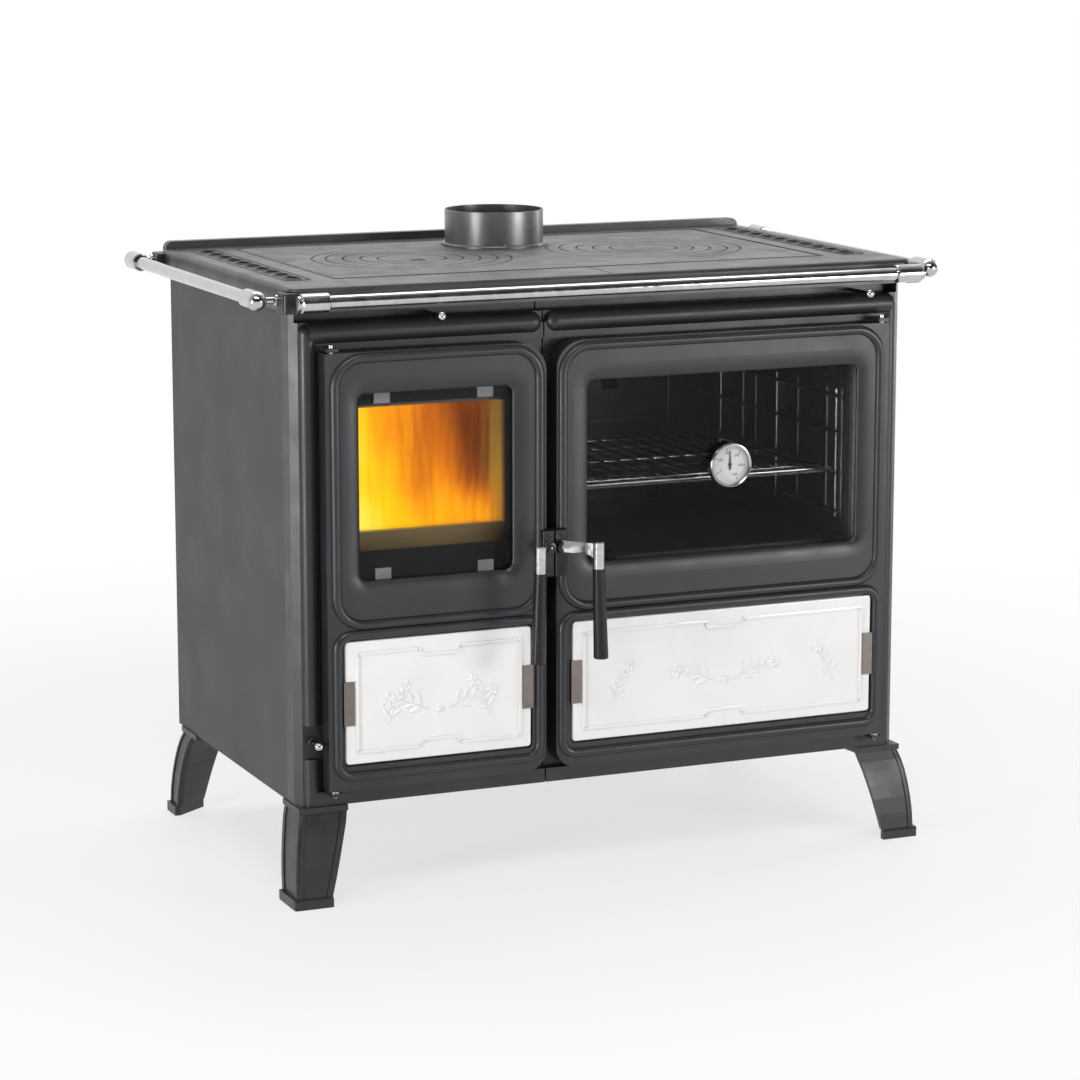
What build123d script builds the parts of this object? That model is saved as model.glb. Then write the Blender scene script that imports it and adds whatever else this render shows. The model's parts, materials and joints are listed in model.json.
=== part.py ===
from build123d import *
import os
from math import hypot

os.makedirs("parts", exist_ok=True)

# ---------------------------------------------------------------------------
# Wood-burning cookstove.  Millimetres, +X to the viewer's right, +Y to the
# back, +Z up.  The origin is on the floor, below the middle of the whole
# object.  Depths named "..._y" below are measured from the face of the cast
# front frame, positive to the back, and moved by front_y when they are used.
# ---------------------------------------------------------------------------

# Body
body_width = 939.0          # across the cast front frame and side panels
body_depth = 534.0          # face of the front frame to the back panel
leg_height = 136.0          # floor to the underside of the base plate
sheet = 4.0                 # side, back and base sheets
side_return = 37.5          # depth of the front frame's side wall
# Hob
hob_top_z = 858.0
hob_thickness = 34.0
hob_side_overhang = 8.0
hob_front_overhang = 18.0
hob_rear_overhang = 22.0
hob_deck = 10.0             # thickness of the hob frame's top
hob_skirt_wall = 8.0
hob_corner = 12.0
hob_edge_round = 7.0
upstand_height = 11.0
upstand_thickness = 16.0
upstand_inset = 4.0         # in from the hob's sides
upstand_corner = 11.0
plate_width = 754.0
plate_depth = 425.0
plate_front_y = 74.0
plate_thickness = 12.0
plate_ledge = 8.0
hot_x = 185.0               # hotplate centres, left and right of the middle
hot_y = 277.0
hot_radii = (145.0, 100.0, 50.0)    # plate hole, inner ring's and lid's seats
groove_radii = (125.0, 75.0)        # turned grooves between the joints
groove_width = 2.4
ring_step = 9.0             # width of each ring's seat
ring_gap = 0.3
plate_side_gap = 3.0        # seams between the plate and the side borders
collar_radius = 74.0
collar_wall = 2.5
collar_flange = 5.0
collar_flange_radius = 79.0
collar_y = 411.0
collar_height = 54.0
vent_count = 10             # pierced slots in each side border of the hob
vent_length = 29.0
vent_width = 17.0
vent_pitch = 41.0
vent_inset = 47.0           # slot row, in from the hob's side
hook_slot = (26.0, 12.0)    # pocket for the lifting hook, in the lid
hook_bar = 4.0
# Front frame
frame_thickness = 8.0
frame_gap = 2.0             # joint between the left and right castings
frame_chamfer = 10.0        # outer front corners
column_radius = 12.0
column_inset = 10.3         # body's side to the column
moulding_radius = 15.0
moulding_gap = 2.0          # moulding's rounded end to the joint
moulding_z = 793.5
fascia_y = 26.0
fascia_thickness = 6.0
bar_top_z = 156.0
fillet_strip = 6.0
keeper_size = (12.0, 12.0, 14.0)    # latch keepers: across, forwards, upright
recess_half_width = 13.4    # recess round the primary-air pull
recess_half_height = 24.0
recess_y = -3.0
escutcheon_thickness = 3.0
# Doors
door_gap_x = -99.4          # middle of the gap between the two doors
door_gap = 16.1
door_margin = 36.6          # from the body's side to the door's hinge edge
door_bottom_z = 160.0
door_top_z = 769.0
door_stand = 39.0           # crest of the beads in front of the frame
door_clearance = 3.0        # back of the door to the frame
field_y = -33.0             # flat face of the door casting
door_plate = 8.0
rim = 7.0
hinge_rim = 20.0
bead_radius = 7.0
bead_free = 9.5
bead_hinge = 14.0
bead_top = 8.0
bead_bottom = 20.0
bead_split = 14.0           # between the tile and the beads around it
window_bead_corner = 40.0
tile_bead_corner = 20.0
window_margin = 48.5
window_bottom_z = 452.0
window_top_z = 711.0
window_corner = 12.0
window_roll = 23.0          # casting rolls in towards the glass: width and depth
window_roll_depth = 6.5
roll_overlap = 2.0
glass_lap = 6.0
glass_thickness = 4.0
glass_clip_width = 23.0
glass_clip_inset = 38.0
glass_clip_reach = 15.0
glass_clip_play = 0.5
glass_clip_foot = 5.0
clip_sheet = 1.8
tile_margin = 24.0
tile_bottom_z = 197.0
tile_height = 173.0
tile_thickness = 8.0
tile_corner = 5.0
tile_edge_round = 2.0
tile_gap = 3.0
tile_floor_y = -27.0
tile_clip_height = 62.0
tile_clip_reach = 13.0
seal_side = 7.5             # rope channel, out from the window's sides
seal_end = 15.0             # and from its top and bottom
seal_width = 12.0
rope_width = 9.0
rope_lip = 2.5
rope_back_y = -0.5
channel_back_y = -7.0       # rim of the rope channel, and its floor
channel_floor_y = -10.0
# Hinges
hinge_inset = 10.6          # pin axis in from the door's hinge edge
hinge_y = -28.0
pin_radius = 3.0
running = 0.05
lug_thickness = 5.0
lug_reach = 8.0             # lug, past the pin's axis
lug_gap = 2.0               # between a lug and its door
pin_engage = 18.0
pin_proud = 4.0
pin_collar = 3.0            # thrust collar, wider than the pin
pin_play = 0.1
# Handles
latch_half = 18.0           # half width of the black latch block
latch_split = 2.0
latch_bottom_z = 440.0
latch_top_z = 506.0
latch_front_y = -46.0
latch_back_y = -21.0
latch_edge_round = 2.0
notch_clear = 0.6
spindle_radius = 4.0
spindle_offset = 10.0       # spindle axis from the middle of the door gap
spindle_z = 482.0
handle_offset = 44.0        # grip axis from the middle of the door gap
handle_reach = 57.0         # grip axis in front of the door's beads
ferrule_radius = 8.0
ferrule_height = 38.0
ferrule_bottom_z = 457.0
grip_length = 128.0
grip_top_radius = 8.6
grip_foot_radius = 10.5
grip_lean = 4.0
grip_edge_round = 2.0
arm_thickness = 6.0
arm_hub_depth = 6.0         # arm below the spindle's axis, at the hub
arm_tip_depth = 16.0        # and at the ferrule
arm_straight = 0.35         # part of the reach with a straight lower edge
arm_curve = 34.0
cam_half_width = 5.0
cam_thickness = 5.0
cam_reach = 14.0            # cam below and above the spindle's axis
cam_heel = 6.0
# Towel rails
rail_radius = 9.0
rail_z = 841.0
front_rail_y = -49.0
front_rail_inset = 45.5     # end of the tube, in from the hob's side
sleeve_radius = 13.0
sleeve_length = 40.0
side_rail_out = 39.0        # side rails, out from the hob's side
side_post_front_y = 2.0
side_post_behind = 9.5      # rear posts, behind the hob
knob_radius = 13.5
post_radius = 4.5
bracket_width = 22.0
bracket_proud_side = 9.5    # brackets, out from the hob's side
bracket_depth = 34.0
bracket_below = 17.0        # brackets, below and above the rails' axes
bracket_above = 11.0
bracket_proud = 8.0         # brackets in front of the hob
bracket_proud_rear = 16.0   # and behind it
bracket_corner = 5.0
bracket_seat = 1.0          # room below and above a bracket in its seat
post_inset = 5.0            # front posts, in from the brackets' inner sides
post_flange = 3.0
end_cap = 4.0
# Legs
leg_flange = 8.0
leg_wall = 9.0              # at the inner ends of its two faces
leg_corner = 4.0
# sections of the front right leg: part of its height, then inner and outer x
# from the body's side, and front and back y
leg_flange_section = (-68.0, 0.0, -16.0, 51.0)
leg_profile = (
    (0.84, -64.5, 4.5, -22.0, 45.5),
    (0.735, -60.0, 7.6, -27.0, 40.0),
    (0.59, -54.5, 10.8, -31.8, 34.5),
    (0.44, -49.0, 13.2, -35.8, 30.0),
    (0.27, -43.0, 15.0, -39.0, 25.5),
)
leg_foot_section = (-37.0, 15.5, -41.0, 22.0)
rear_leg_depth = 0.62       # rear legs, of the front legs' depth
leg_flange_lap = 2.0
panel_margin = 9.0          # recessed panels on the outer faces
panel_relief = 1.5
foot_height = 14.0
foot_lip = 4.0
leg_bolt_table = ((27.0, 45.0), (60.0, 22.0))   # in from the body's side, behind the frame's face
bolt_radius = 4.0
nut_height = 4.0
nut_ratio = 1.8
rear_leg_inset = 17.0       # legs' mirror plane, in front of the body's middle
# Firebox and ash drawer
firebox_wall = 5.0
firebox_left = 46.0         # firebox, out from the window's left side
firebox_right = 41.0        # and from its right side
firebox_depth = 437.0
firebox_top_z = 760.0
liner = 25.0
grate_z = 430.0
grate_thickness = 12.0
grate_slot = (78.0, 9.0)
grate_pitch = (18.0, 92.0)
grate_slot_count = 12
grate_rows = 4
grate_play = 1.0
liner_drop = 20.0           # liners, below the firebox's top
baffle_thickness = 8.0
baffle_front_y = 160.0
guard_thickness = 8.0
guard_slots = 5
guard_slot_width = 32.0
guard_slot_foot = 26.0
guard_slot_head = 33.0
guard_slot_corner = 6.0
ash_floor_z = 180.0
drawer_wall = 2.0
drawer_height = 115.0
drawer_depth = 390.0
drawer_front_y = 2.0
drawer_play = 2.0
drawer_pull = (80.0, 12.0, 12.0)    # bent lip: across, forwards, downwards
drawer_pull_drop = 36.0
drawer_pull_sheet = (4.0, 3.0)      # top and front of the lip
log_guard_top_z = 513.0
mouth_top_z = 688.0
mouth_bottom_z = 470.0
mouth_inset = 1.5           # mouths in the frame, in from the window's sides
mouth_corner = 5.0
lower_mouth_top_z = 372.0
# Oven
oven_wall = 3.0
oven_lap = 9.0              # oven box, out from the window's sides
oven_depth = 460.0
oven_bottom_z = 442.0
oven_top_z = 722.0
wire = 2.5
rack_z = 548.0
rack_wires = 15
rack_wire = 3.0
rack_thin_wire = 2.0
rack_play = 0.3
rack_inset = 8.0            # rack, in from the guides' ends
guide_inset = 40.0
guide_overrun = 10.0
guide_offsets = (-62.0, 56.0, 108.0)    # empty runner levels around the rack
cover_sheet = 2.0
cover_knob_radius = 7.0
cover_knob_inset = 30.0
cover_knob_reach = 7.0
cover_overlap = (8.0, 10.0)     # over the lower mouth's sill and head
thermometer_x = 178.5
thermometer_z = 578.0
thermometer_radius = 32.0
thermometer_depth = 12.0
thermometer_rim = 4.0
stem_radius = 4.0
stem_length = 8.0
dial_setback = 7.0
dial_thickness = 1.2
needle_hub_radius = 2.6
needle_pivot_radius = 1.2
needle_length = 20.0
needle_tail = 7.0
needle_half_width = 1.6
needle_tip_half_width = 0.3
needle_thickness = 1.0
needle_lift = 0.8           # clear of the dial
# Pulls
pull_radius = 3.0
pull_ball = 6.2
air_pull_inset = 205.5      # pulls under the hob, in from the body's sides
damper_pull_inset = 71.5
primary_pull_z = 227.0
pull_front_y = -36.0
pull_travel = 40.0
primary_ball_proud = 20.4   # primary-air ball, in front of the column
primary_tail_y = 60.0
primary_blade = 20.0
blade_width = 60.0
blade_length = 30.0
blade_thickness = 3.0
damper_tail_y = 120.0

# ------------------------------------------------------------- derived sizes
half_body = body_width / 2
half_hob = half_body + hob_side_overhang
body_top_z = hob_top_z - hob_thickness
floor_z = leg_height + sheet
hob_front_y = -hob_front_overhang
hob_back_y = body_depth + hob_rear_overhang
plate_back_y = plate_front_y + plate_depth
plate_low_z = hob_top_z - plate_thickness
door_back_y = -door_clearance
crest_y = -door_stand
grip_y = crest_y - handle_reach
frame_split_x = door_gap_x
column_x = half_body - column_inset - column_radius
hinge_x = half_body - door_margin - hinge_inset
left_door = (-half_body + door_margin, door_gap_x - door_gap / 2)
right_door = (door_gap_x + door_gap / 2, half_body - door_margin)
top_lug_z = door_top_z + lug_gap
low_lug_z = door_bottom_z - lug_gap - lug_thickness
pull_z = moulding_z + moulding_radius + pull_radius + 1.0
tile_top_z = tile_bottom_z + tile_height
split_z = tile_top_z + bead_split
glass_front_y = field_y + door_plate
glass_back_y = glass_front_y + glass_thickness
liner_top_z = firebox_top_z - liner_drop
air_pull_x = -half_body + air_pull_inset
damper_pull_x = half_body - damper_pull_inset
rear_leg_mirror_y = body_depth / 2 - rear_leg_inset
front_rail_half = half_hob - front_rail_inset
side_rail_x = half_hob + side_rail_out
side_post_rear_y = hob_back_y + side_post_behind
bracket_outer_x = half_hob + bracket_proud_side
bracket_inner_x = bracket_outer_x - bracket_width
# the handles and the rear rail knobs reach equally far from the origin
front_y = (door_stand + handle_reach + grip_foot_radius - side_post_rear_y - knob_radius) / 2


def save(builder, label):
    """Name a finished piece and write it."""
    builder.part.label = label
    export_step(builder.part, "parts/" + label + ".step")


def facing(y):
    """The upright plane at depth y, seen from the front; it is extruded forwards."""
    return Plane.XZ.offset(-(front_y + y))


def block(x0, x1, y0, y1, z0, z1, mode=Mode.ADD):
    """A box between two corners."""
    with Locations(((x0 + x1) / 2, front_y + (y0 + y1) / 2, (z0 + z1) / 2)):
        Box(abs(x1 - x0), y1 - y0, z1 - z0, mode=mode)


def slab(x0, x1, z0, z1, corner, y_back, y_front, mode=Mode.ADD, taper=0):
    """An upright plate with rounded corners, from depth y_back to y_front."""
    with BuildSketch(facing(y_back)) as outline:
        with Locations(((x0 + x1) / 2, (z0 + z1) / 2)):
            RectangleRounded(x1 - x0, z1 - z0, corner)
    extrude(outline.sketch, amount=y_back - y_front, taper=taper, mode=mode)


def rod_x(x0, x1, y, z, radius, mode=Mode.ADD):
    """A round bar from left to right."""
    with Locations(Location(((x0 + x1) / 2, front_y + y, z), (0, 90, 0))):
        Cylinder(radius, abs(x1 - x0), mode=mode)


def rod_y(y0, y1, x, z, radius, mode=Mode.ADD):
    """A round bar from front to back."""
    with Locations(Location((x, front_y + (y0 + y1) / 2, z), (90, 0, 0))):
        Cylinder(radius, y1 - y0, mode=mode)


def rod_z(z0, z1, x, y, radius, mode=Mode.ADD):
    """An upright round bar."""
    with Locations((x, front_y + y, (z0 + z1) / 2)):
        Cylinder(radius, z1 - z0, mode=mode)


def ball(x, y, z, radius, mode=Mode.ADD):
    """A sphere."""
    with Locations((x, front_y + y, z)):
        Sphere(radius, mode=mode)


def bead(x0, x1, z0, z1, corner, y, radius):
    """A round bead along a rounded rectangle on the upright plane at depth y."""
    with BuildLine(facing(y)) as path:
        FilletPolyline((x0, z0), (x1, z0), (x1, z1), (x0, z1), radius=corner, close=True)
    with BuildSketch(Plane(origin=path.line @ 0, z_dir=path.line % 0)) as section:
        Circle(radius)
    sweep(section.sketch, path=path.line)


# =============================================================== front frame
def window_span(door):
    """Left and right edges of a door's window."""
    return door[0] + window_margin, door[1] - window_margin


def front_frame(side, door, mouth_z):
    """One half of the cast front frame: column, mouldings, side wall, mouths, hinge lugs."""
    outer = side * half_body
    inner = frame_split_x + side * frame_gap / 2
    lo, hi = sorted((outer, inner))
    low_z = leg_height
    mouth = [window_span(door)[0] + mouth_inset, window_span(door)[1] - mouth_inset]
    with BuildPart() as casting:
        block(lo, hi, 0, frame_thickness, low_z, moulding_z + moulding_radius)
        block(outer, outer - side * fillet_strip, 0, side_return, low_z, body_top_z)
        # shelf and fascia under the hob
        shelf_z = moulding_z + moulding_radius - fascia_thickness
        block(lo, hi, 0, fascia_y + fascia_thickness, shelf_z, shelf_z + fascia_thickness)
        block(lo, hi, fascia_y, fascia_y + fascia_thickness, shelf_z, body_top_z)
        # bevelled outer corner
        with BuildSketch(Plane.XY.offset(low_z)) as corner:
            with BuildLine():
                Polyline((outer, front_y), (outer - side * frame_chamfer, front_y),
                         (outer, front_y + frame_chamfer), close=True)
            make_face()
        extrude(corner.sketch, amount=body_top_z - low_z, mode=Mode.SUBTRACT)
        # half-round column and top moulding with a rounded inner end
        rod_z(low_z, moulding_z, side * column_x, 0, column_radius)
        ball(side * column_x, 0, moulding_z, column_radius)
        moulding_end = inner + side * (moulding_gap + moulding_radius)
        rod_x(side * column_x, moulding_end, 0, moulding_z, moulding_radius)
        ball(moulding_end, 0, moulding_z, moulding_radius)
        # strip above the doors and bar below them
        block(side * column_x, inner, -fillet_strip, 0, top_lug_z, moulding_z)
        block(side * column_x, inner, -2 * fillet_strip, 0, low_z, bar_top_z)
        # the round forms stop at the back of the frame
        block(outer - side * fillet_strip, inner - side * fillet_strip, frame_thickness,
              frame_thickness + moulding_radius, low_z, shelf_z, mode=Mode.SUBTRACT)
        # mouths
        slab(mouth[0], mouth[1], mouth_z[0], mouth_z[1], mouth_corner, frame_thickness, 0,
             mode=Mode.SUBTRACT)
        slab(mouth[0], mouth[1], ash_floor_z, lower_mouth_top_z, 1.0, frame_thickness, 0,
             mode=Mode.SUBTRACT)
        # hinge lugs, bored for the pins
        for lug_z in (low_lug_z, top_lug_z):
            block(side * (hinge_x - lug_reach), side * (hinge_x + lug_reach), hinge_y - lug_reach, 0,
                  lug_z, lug_z + lug_thickness)
            rod_z(lug_z, lug_z + lug_thickness, side * hinge_x, hinge_y, pin_radius, mode=Mode.SUBTRACT)
        # keeper for the latch cam
        keeper_x = door_gap_x + side * spindle_offset
        block(keeper_x - keeper_size[0] / 2, keeper_x + keeper_size[0] / 2, -keeper_size[1], 0,
              latch_bottom_z + fillet_strip, latch_bottom_z + fillet_strip + keeper_size[2])
        if side < 0:
            # recess and bore for the primary-air pull
            block(-column_x - recess_half_width, -column_x + recess_half_width, -2 * column_radius, recess_y,
                  primary_pull_z - recess_half_height, primary_pull_z + recess_half_height,
                  mode=Mode.SUBTRACT)
            rod_y(-column_radius, frame_thickness, -column_x, primary_pull_z, pull_radius + running,
                  mode=Mode.SUBTRACT)
        pull_x = air_pull_x if side < 0 else damper_pull_x
        rod_y(0, fascia_y + fascia_thickness, pull_x, pull_z, pull_radius + running, mode=Mode.SUBTRACT)
    return casting


firebox_mouth_z = (mouth_bottom_z, mouth_top_z)
oven_mouth_z = (window_bottom_z, window_top_z)
save(front_frame(-1, left_door, firebox_mouth_z), "front_frame_left")
save(front_frame(1, right_door, oven_mouth_z), "front_frame_right")

# ============================================================== sheet casing
for side, name in ((-1, "side_panel_left"), (1, "side_panel_right")):
    with BuildPart() as side_panel:
        block(side * half_body, side * (half_body - sheet), side_return, body_depth,
              leg_height, body_top_z)
    save(side_panel, name)

with BuildPart() as back_panel:
    inside = half_body - sheet
    block(-inside, inside, body_depth - sheet, body_depth, floor_z, body_top_z)
save(back_panel, "back_panel")

# ====================================================================== legs
leg_top_z = leg_height - leg_flange
leg_sections = [(leg_top_z, *leg_flange_section)]
for part_height, *sides in leg_profile:
    leg_sections.append((part_height * leg_height, *sides))
leg_sections.append((foot_height, *leg_foot_section))


def leg_loft(depth, shape, mode=Mode.ADD):
    """Loft outlines through the leg's heights; shape gives each section's corners."""
    sections = []
    for z, x_in, x_out, y_front, y_back in leg_sections:
        corners = shape(half_body + x_in, half_body + x_out, y_front, y_front + depth * (y_back - y_front))
        with BuildSketch(Plane.XY.offset(z)) as section:
            with BuildLine():
                Polyline([(x, front_y + y) for x, y in corners], close=True)
            make_face()
        sections.append(section.sketch)
    loft(sections, ruled=True, mode=mode)


def leg_outline(x_in, x_out, y_front, y_back):
    """Two outer faces with an eased corner between them, and a slanted inner face."""
    eased = leg_corner / 4
    return ((x_in, y_front), (x_out - leg_corner, y_front), (x_out - eased, y_front + eased),
            (x_out, y_front + leg_corner), (x_out, y_back), (x_out - leg_wall, y_back),
            (x_in, y_front + leg_wall))


def upright(x0, x1, y0, y1):
    """The corners of a rectangle."""
    return (x0, y0), (x1, y0), (x1, y1), (x0, y1)


def leg_bolt_places():
    """Plan positions of a front right leg's two bolts."""
    places = []
    for bolt_inset, bolt_y in leg_bolt_table:
        places.append((half_body - bolt_inset, bolt_y))
    return places


def leg_casting(depth):
    """A front right leg; depth scales it from front to back."""
    foot_in, foot_out, foot_front, foot_back = leg_foot_section
    foot_back = foot_front + depth * (foot_back - foot_front)
    flange_in, flange_out, flange_front, flange_back = leg_flange_section
    with BuildPart() as casting:
        leg_loft(depth, leg_outline)
        # recessed panels on the two outer faces
        leg_loft(depth, lambda x_in, x_out, y_front, y_back: upright(
            x_in + panel_margin, x_out - panel_margin, y_front - 1, y_front + panel_relief),
                 mode=Mode.SUBTRACT)
        leg_loft(depth, lambda x_in, x_out, y_front, y_back: upright(
            x_out - panel_relief, x_out + 1, y_front + panel_margin, y_back - panel_margin),
                 mode=Mode.SUBTRACT)
        # foot with a lip on the outer sides
        foot = leg_outline(half_body + foot_in, half_body + foot_out + foot_lip, foot_front - foot_lip,
                           foot_back + 1)
        with BuildSketch() as sole:
            with BuildLine():
                Polyline([(x, front_y + y) for x, y in foot], close=True)
            make_face()
        extrude(sole.sketch, amount=foot_height)
        chamfer(casting.faces().filter_by(Axis.Z).group_by(Axis.Z)[1].edges().sort_by(
            Axis.Y)[0], foot_lip / 2)
        # flange under the base plate
        block(half_body + flange_in - leg_flange_lap, half_body + flange_out + leg_flange_lap, flange_front,
              flange_back + leg_flange_lap, leg_top_z, leg_height)
        for bolt_x, bolt_y in leg_bolt_places():
            rod_z(leg_top_z, leg_height, bolt_x, bolt_y, bolt_radius, mode=Mode.SUBTRACT)
    return casting.part


leg_castings = {False: leg_casting(1.0), True: leg_casting(rear_leg_depth)}
mirror_plane = Plane.XZ.offset(-(front_y + rear_leg_mirror_y))
for label, sign_x, rear in (("leg_front_right", 1, False), ("leg_front_left", -1, False),
                            ("leg_rear_right", 1, True), ("leg_rear_left", -1, True)):
    with BuildPart() as leg:
        add(leg_castings[rear])
        if sign_x < 0:
            mirror(about=Plane.YZ, mode=Mode.REPLACE)
        if rear:
            mirror(about=mirror_plane, mode=Mode.REPLACE)
    save(leg, label)


all_bolt_places = []
for bolt_x, bolt_y in leg_bolt_places():
    for side in (-1, 1):
        for y in (bolt_y, 2 * rear_leg_mirror_y - bolt_y):
            all_bolt_places.append((side * bolt_x, y))


def hexagon_bolt(x, y):
    """An upright hexagon-headed bolt with its head below the leg and a nut on the base plate."""
    head_z = leg_top_z - nut_height
    for low_z in (head_z, floor_z):
        with BuildSketch(Plane.XY.offset(low_z)) as hexagon:
            with Locations((x, front_y + y)):
                RegularPolygon(bolt_radius * nut_ratio, 6)
        extrude(hexagon.sketch, amount=nut_height)
    rod_z(leg_top_z, floor_z, x, y, bolt_radius)


with BuildPart() as leg_bolts:
    for bolt_x, bolt_y in all_bolt_places:
        hexagon_bolt(bolt_x, bolt_y)
save(leg_bolts, "leg_bolts")

with BuildPart() as base_plate:
    block(-(half_body - fillet_strip), half_body - fillet_strip, frame_thickness, side_return,
          leg_height, floor_z)
    block(-inside, inside, side_return, body_depth, leg_height, floor_z)
    for bolt_x, bolt_y in all_bolt_places:
        rod_z(leg_height, floor_z, bolt_x, bolt_y, bolt_radius, mode=Mode.SUBTRACT)
save(base_plate, "base_plate")

# ======================================================================= hob
half_plate = plate_width / 2
deck_z = hob_top_z - hob_deck
bracket_places = []
for side in (-1, 1):
    for bracket_y in (hob_front_y - bracket_proud, hob_back_y + bracket_proud_rear - bracket_depth):
        bracket_places.append((side, bracket_y))
with BuildPart() as hob_frame:
    block(-half_hob, half_hob, hob_front_y, hob_back_y, body_top_z, hob_top_z)
    fillet(hob_frame.edges().filter_by(Axis.Z), hob_corner)
    fillet(hob_frame.faces().sort_by(Axis.Z)[-1].edges(), hob_edge_round)
    # upstand along the back, with rounded ends
    upstand_z = hob_top_z + upstand_height
    slab(-half_hob + upstand_inset, half_hob - upstand_inset, body_top_z, upstand_z, upstand_corner,
         hob_back_y, hob_back_y - upstand_thickness)
    # hollow below the deck, open for the plate
    hollow = hob_skirt_wall
    block(-half_hob + hollow, half_hob - hollow, hob_front_y + hollow, hob_back_y - hollow,
          body_top_z, deck_z, mode=Mode.SUBTRACT)
    block(-half_plate, half_plate, plate_front_y, plate_back_y, deck_z, hob_top_z, mode=Mode.SUBTRACT)
    # ledge that carries the cooking plate
    ledge_z = plate_low_z - plate_ledge
    block(-half_plate - hollow, half_plate + hollow, plate_front_y - hollow, plate_back_y + hollow,
          ledge_z, deck_z)
    block(-half_plate, half_plate, plate_front_y, plate_back_y, plate_low_z, deck_z, mode=Mode.SUBTRACT)
    block(-half_plate + hollow, half_plate - hollow, plate_front_y + hollow, plate_back_y - hollow,
          ledge_z, plate_low_z, mode=Mode.SUBTRACT)
    # pierced slots in both side borders
    for side in (-1, 1):
        with BuildSketch(Plane.XY.offset(deck_z)) as slots:
            with Locations((side * (half_hob - vent_inset), front_y + (plate_front_y + plate_back_y) / 2)):
                with GridLocations(0, vent_pitch, 1, vent_count):
                    SlotOverall(vent_length, vent_width, rotation=90)
        extrude(slots.sketch, amount=hob_deck, mode=Mode.SUBTRACT)
    # joint line across the front border
    block(-frame_gap / 2, frame_gap / 2, hob_front_y, plate_front_y, hob_top_z - 1, hob_top_z,
          mode=Mode.SUBTRACT)
    # seats for the cast rail brackets
    for side, bracket_y in bracket_places:
        block(side * bracket_inner_x, side * bracket_outer_x, bracket_y, bracket_y + bracket_depth,
              rail_z - bracket_below - bracket_seat, rail_z + bracket_above + bracket_seat,
              mode=Mode.SUBTRACT)
save(hob_frame, "hob_frame")


def hot_plane(z, side):
    """Level plane at height z over a hotplate's centre."""
    return Plane(origin=(side * hot_x, front_y + hot_y, z))


seat_z = plate_low_z + plate_thickness / 2


def disc(side, radius, z0, z1, mode=Mode.ADD):
    """A round slice on a hotplate's axis."""
    with BuildSketch(hot_plane(z0, side)) as circle:
        Circle(radius)
    extrude(circle.sketch, amount=z1 - z0, mode=mode)


def groove(side, radius):
    """A turned groove in the cooking surface."""
    with BuildSketch(hot_plane(hob_top_z, side)) as ring:
        Circle(radius + groove_width / 2)
        Circle(radius - groove_width / 2, mode=Mode.SUBTRACT)
    extrude(ring.sketch, amount=-groove_width, mode=Mode.SUBTRACT)


with BuildPart() as hob_plate:
    block(-half_plate + plate_side_gap, half_plate - plate_side_gap, plate_front_y + ring_gap,
          plate_back_y - ring_gap, plate_low_z, hob_top_z)
    fillet(hob_plate.edges().filter_by(Axis.Z), 5.0)
    disc(-1, hot_radii[0], seat_z, hob_top_z, mode=Mode.SUBTRACT)
    disc(-1, hot_radii[0] - ring_step, plate_low_z, seat_z, mode=Mode.SUBTRACT)
    groove(-1, hot_radii[0])
    for radius in hot_radii + groove_radii:
        groove(1, radius)
    rod_z(plate_low_z, hob_top_z, 0, collar_y, collar_radius - collar_wall, mode=Mode.SUBTRACT)
save(hob_plate, "hob_plate")


def stepped_disc(outer):
    """A disc whose upper half overlaps its seat."""
    disc(-1, outer - ring_gap, seat_z, hob_top_z)
    disc(-1, outer - ring_gap - ring_step, plate_low_z, seat_z)


for label, outer, inner, radius in (("hob_ring_outer", hot_radii[0], hot_radii[1], groove_radii[0]),
                                    ("hob_ring_inner", hot_radii[1], hot_radii[2], groove_radii[1])):
    with BuildPart() as hob_ring:
        stepped_disc(outer)
        disc(-1, inner, seat_z, hob_top_z, mode=Mode.SUBTRACT)
        disc(-1, inner - ring_step, plate_low_z, seat_z, mode=Mode.SUBTRACT)
        for groove_radius in (outer, radius, inner):
            groove(-1, groove_radius)
    save(hob_ring, label)

with BuildPart() as hob_lid:
    stepped_disc(hot_radii[2])
    groove(-1, hot_radii[2])
    # pocket and bar for the lifting hook
    with BuildSketch(hot_plane(hob_top_z, -1)) as pocket:
        with Locations((0, -hot_radii[2] / 2)):
            SlotOverall(*hook_slot)
    extrude(pocket.sketch, amount=-plate_thickness / 2, mode=Mode.SUBTRACT)
    with Locations((-hot_x, front_y + hot_y - hot_radii[2] / 2, hob_top_z - 0.75 * hook_bar)):
        Box(hook_bar, hook_slot[1], hook_bar)
save(hob_lid, "hob_lid")

with BuildPart() as flue_collar:
    collar_top_z = hob_top_z + collar_height
    rod_z(hob_top_z, hob_top_z + collar_flange, 0, collar_y, collar_flange_radius)
    fillet(flue_collar.faces().sort_by(Axis.Z)[-1].edges(), collar_flange / 2)
    rod_z(hob_top_z, collar_top_z, 0, collar_y, collar_radius)
    rod_z(hob_top_z, collar_top_z, 0, collar_y, collar_radius - collar_wall, mode=Mode.SUBTRACT)
save(flue_collar, "flue_collar")

# ===================================================================== rails
with BuildPart() as rail_front:
    rod_x(-front_rail_half, front_rail_half, front_rail_y, rail_z, rail_radius)
save(rail_front, "rail_front")

side_sleeve_y = (side_post_front_y + sleeve_length, side_post_rear_y - sleeve_length)
for side, label in ((-1, "rail_left"), (1, "rail_right")):
    with BuildPart() as side_rail:
        rod_y(side_sleeve_y[0], side_sleeve_y[1], side * side_rail_x, rail_z, rail_radius)
    save(side_rail, label)

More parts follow.
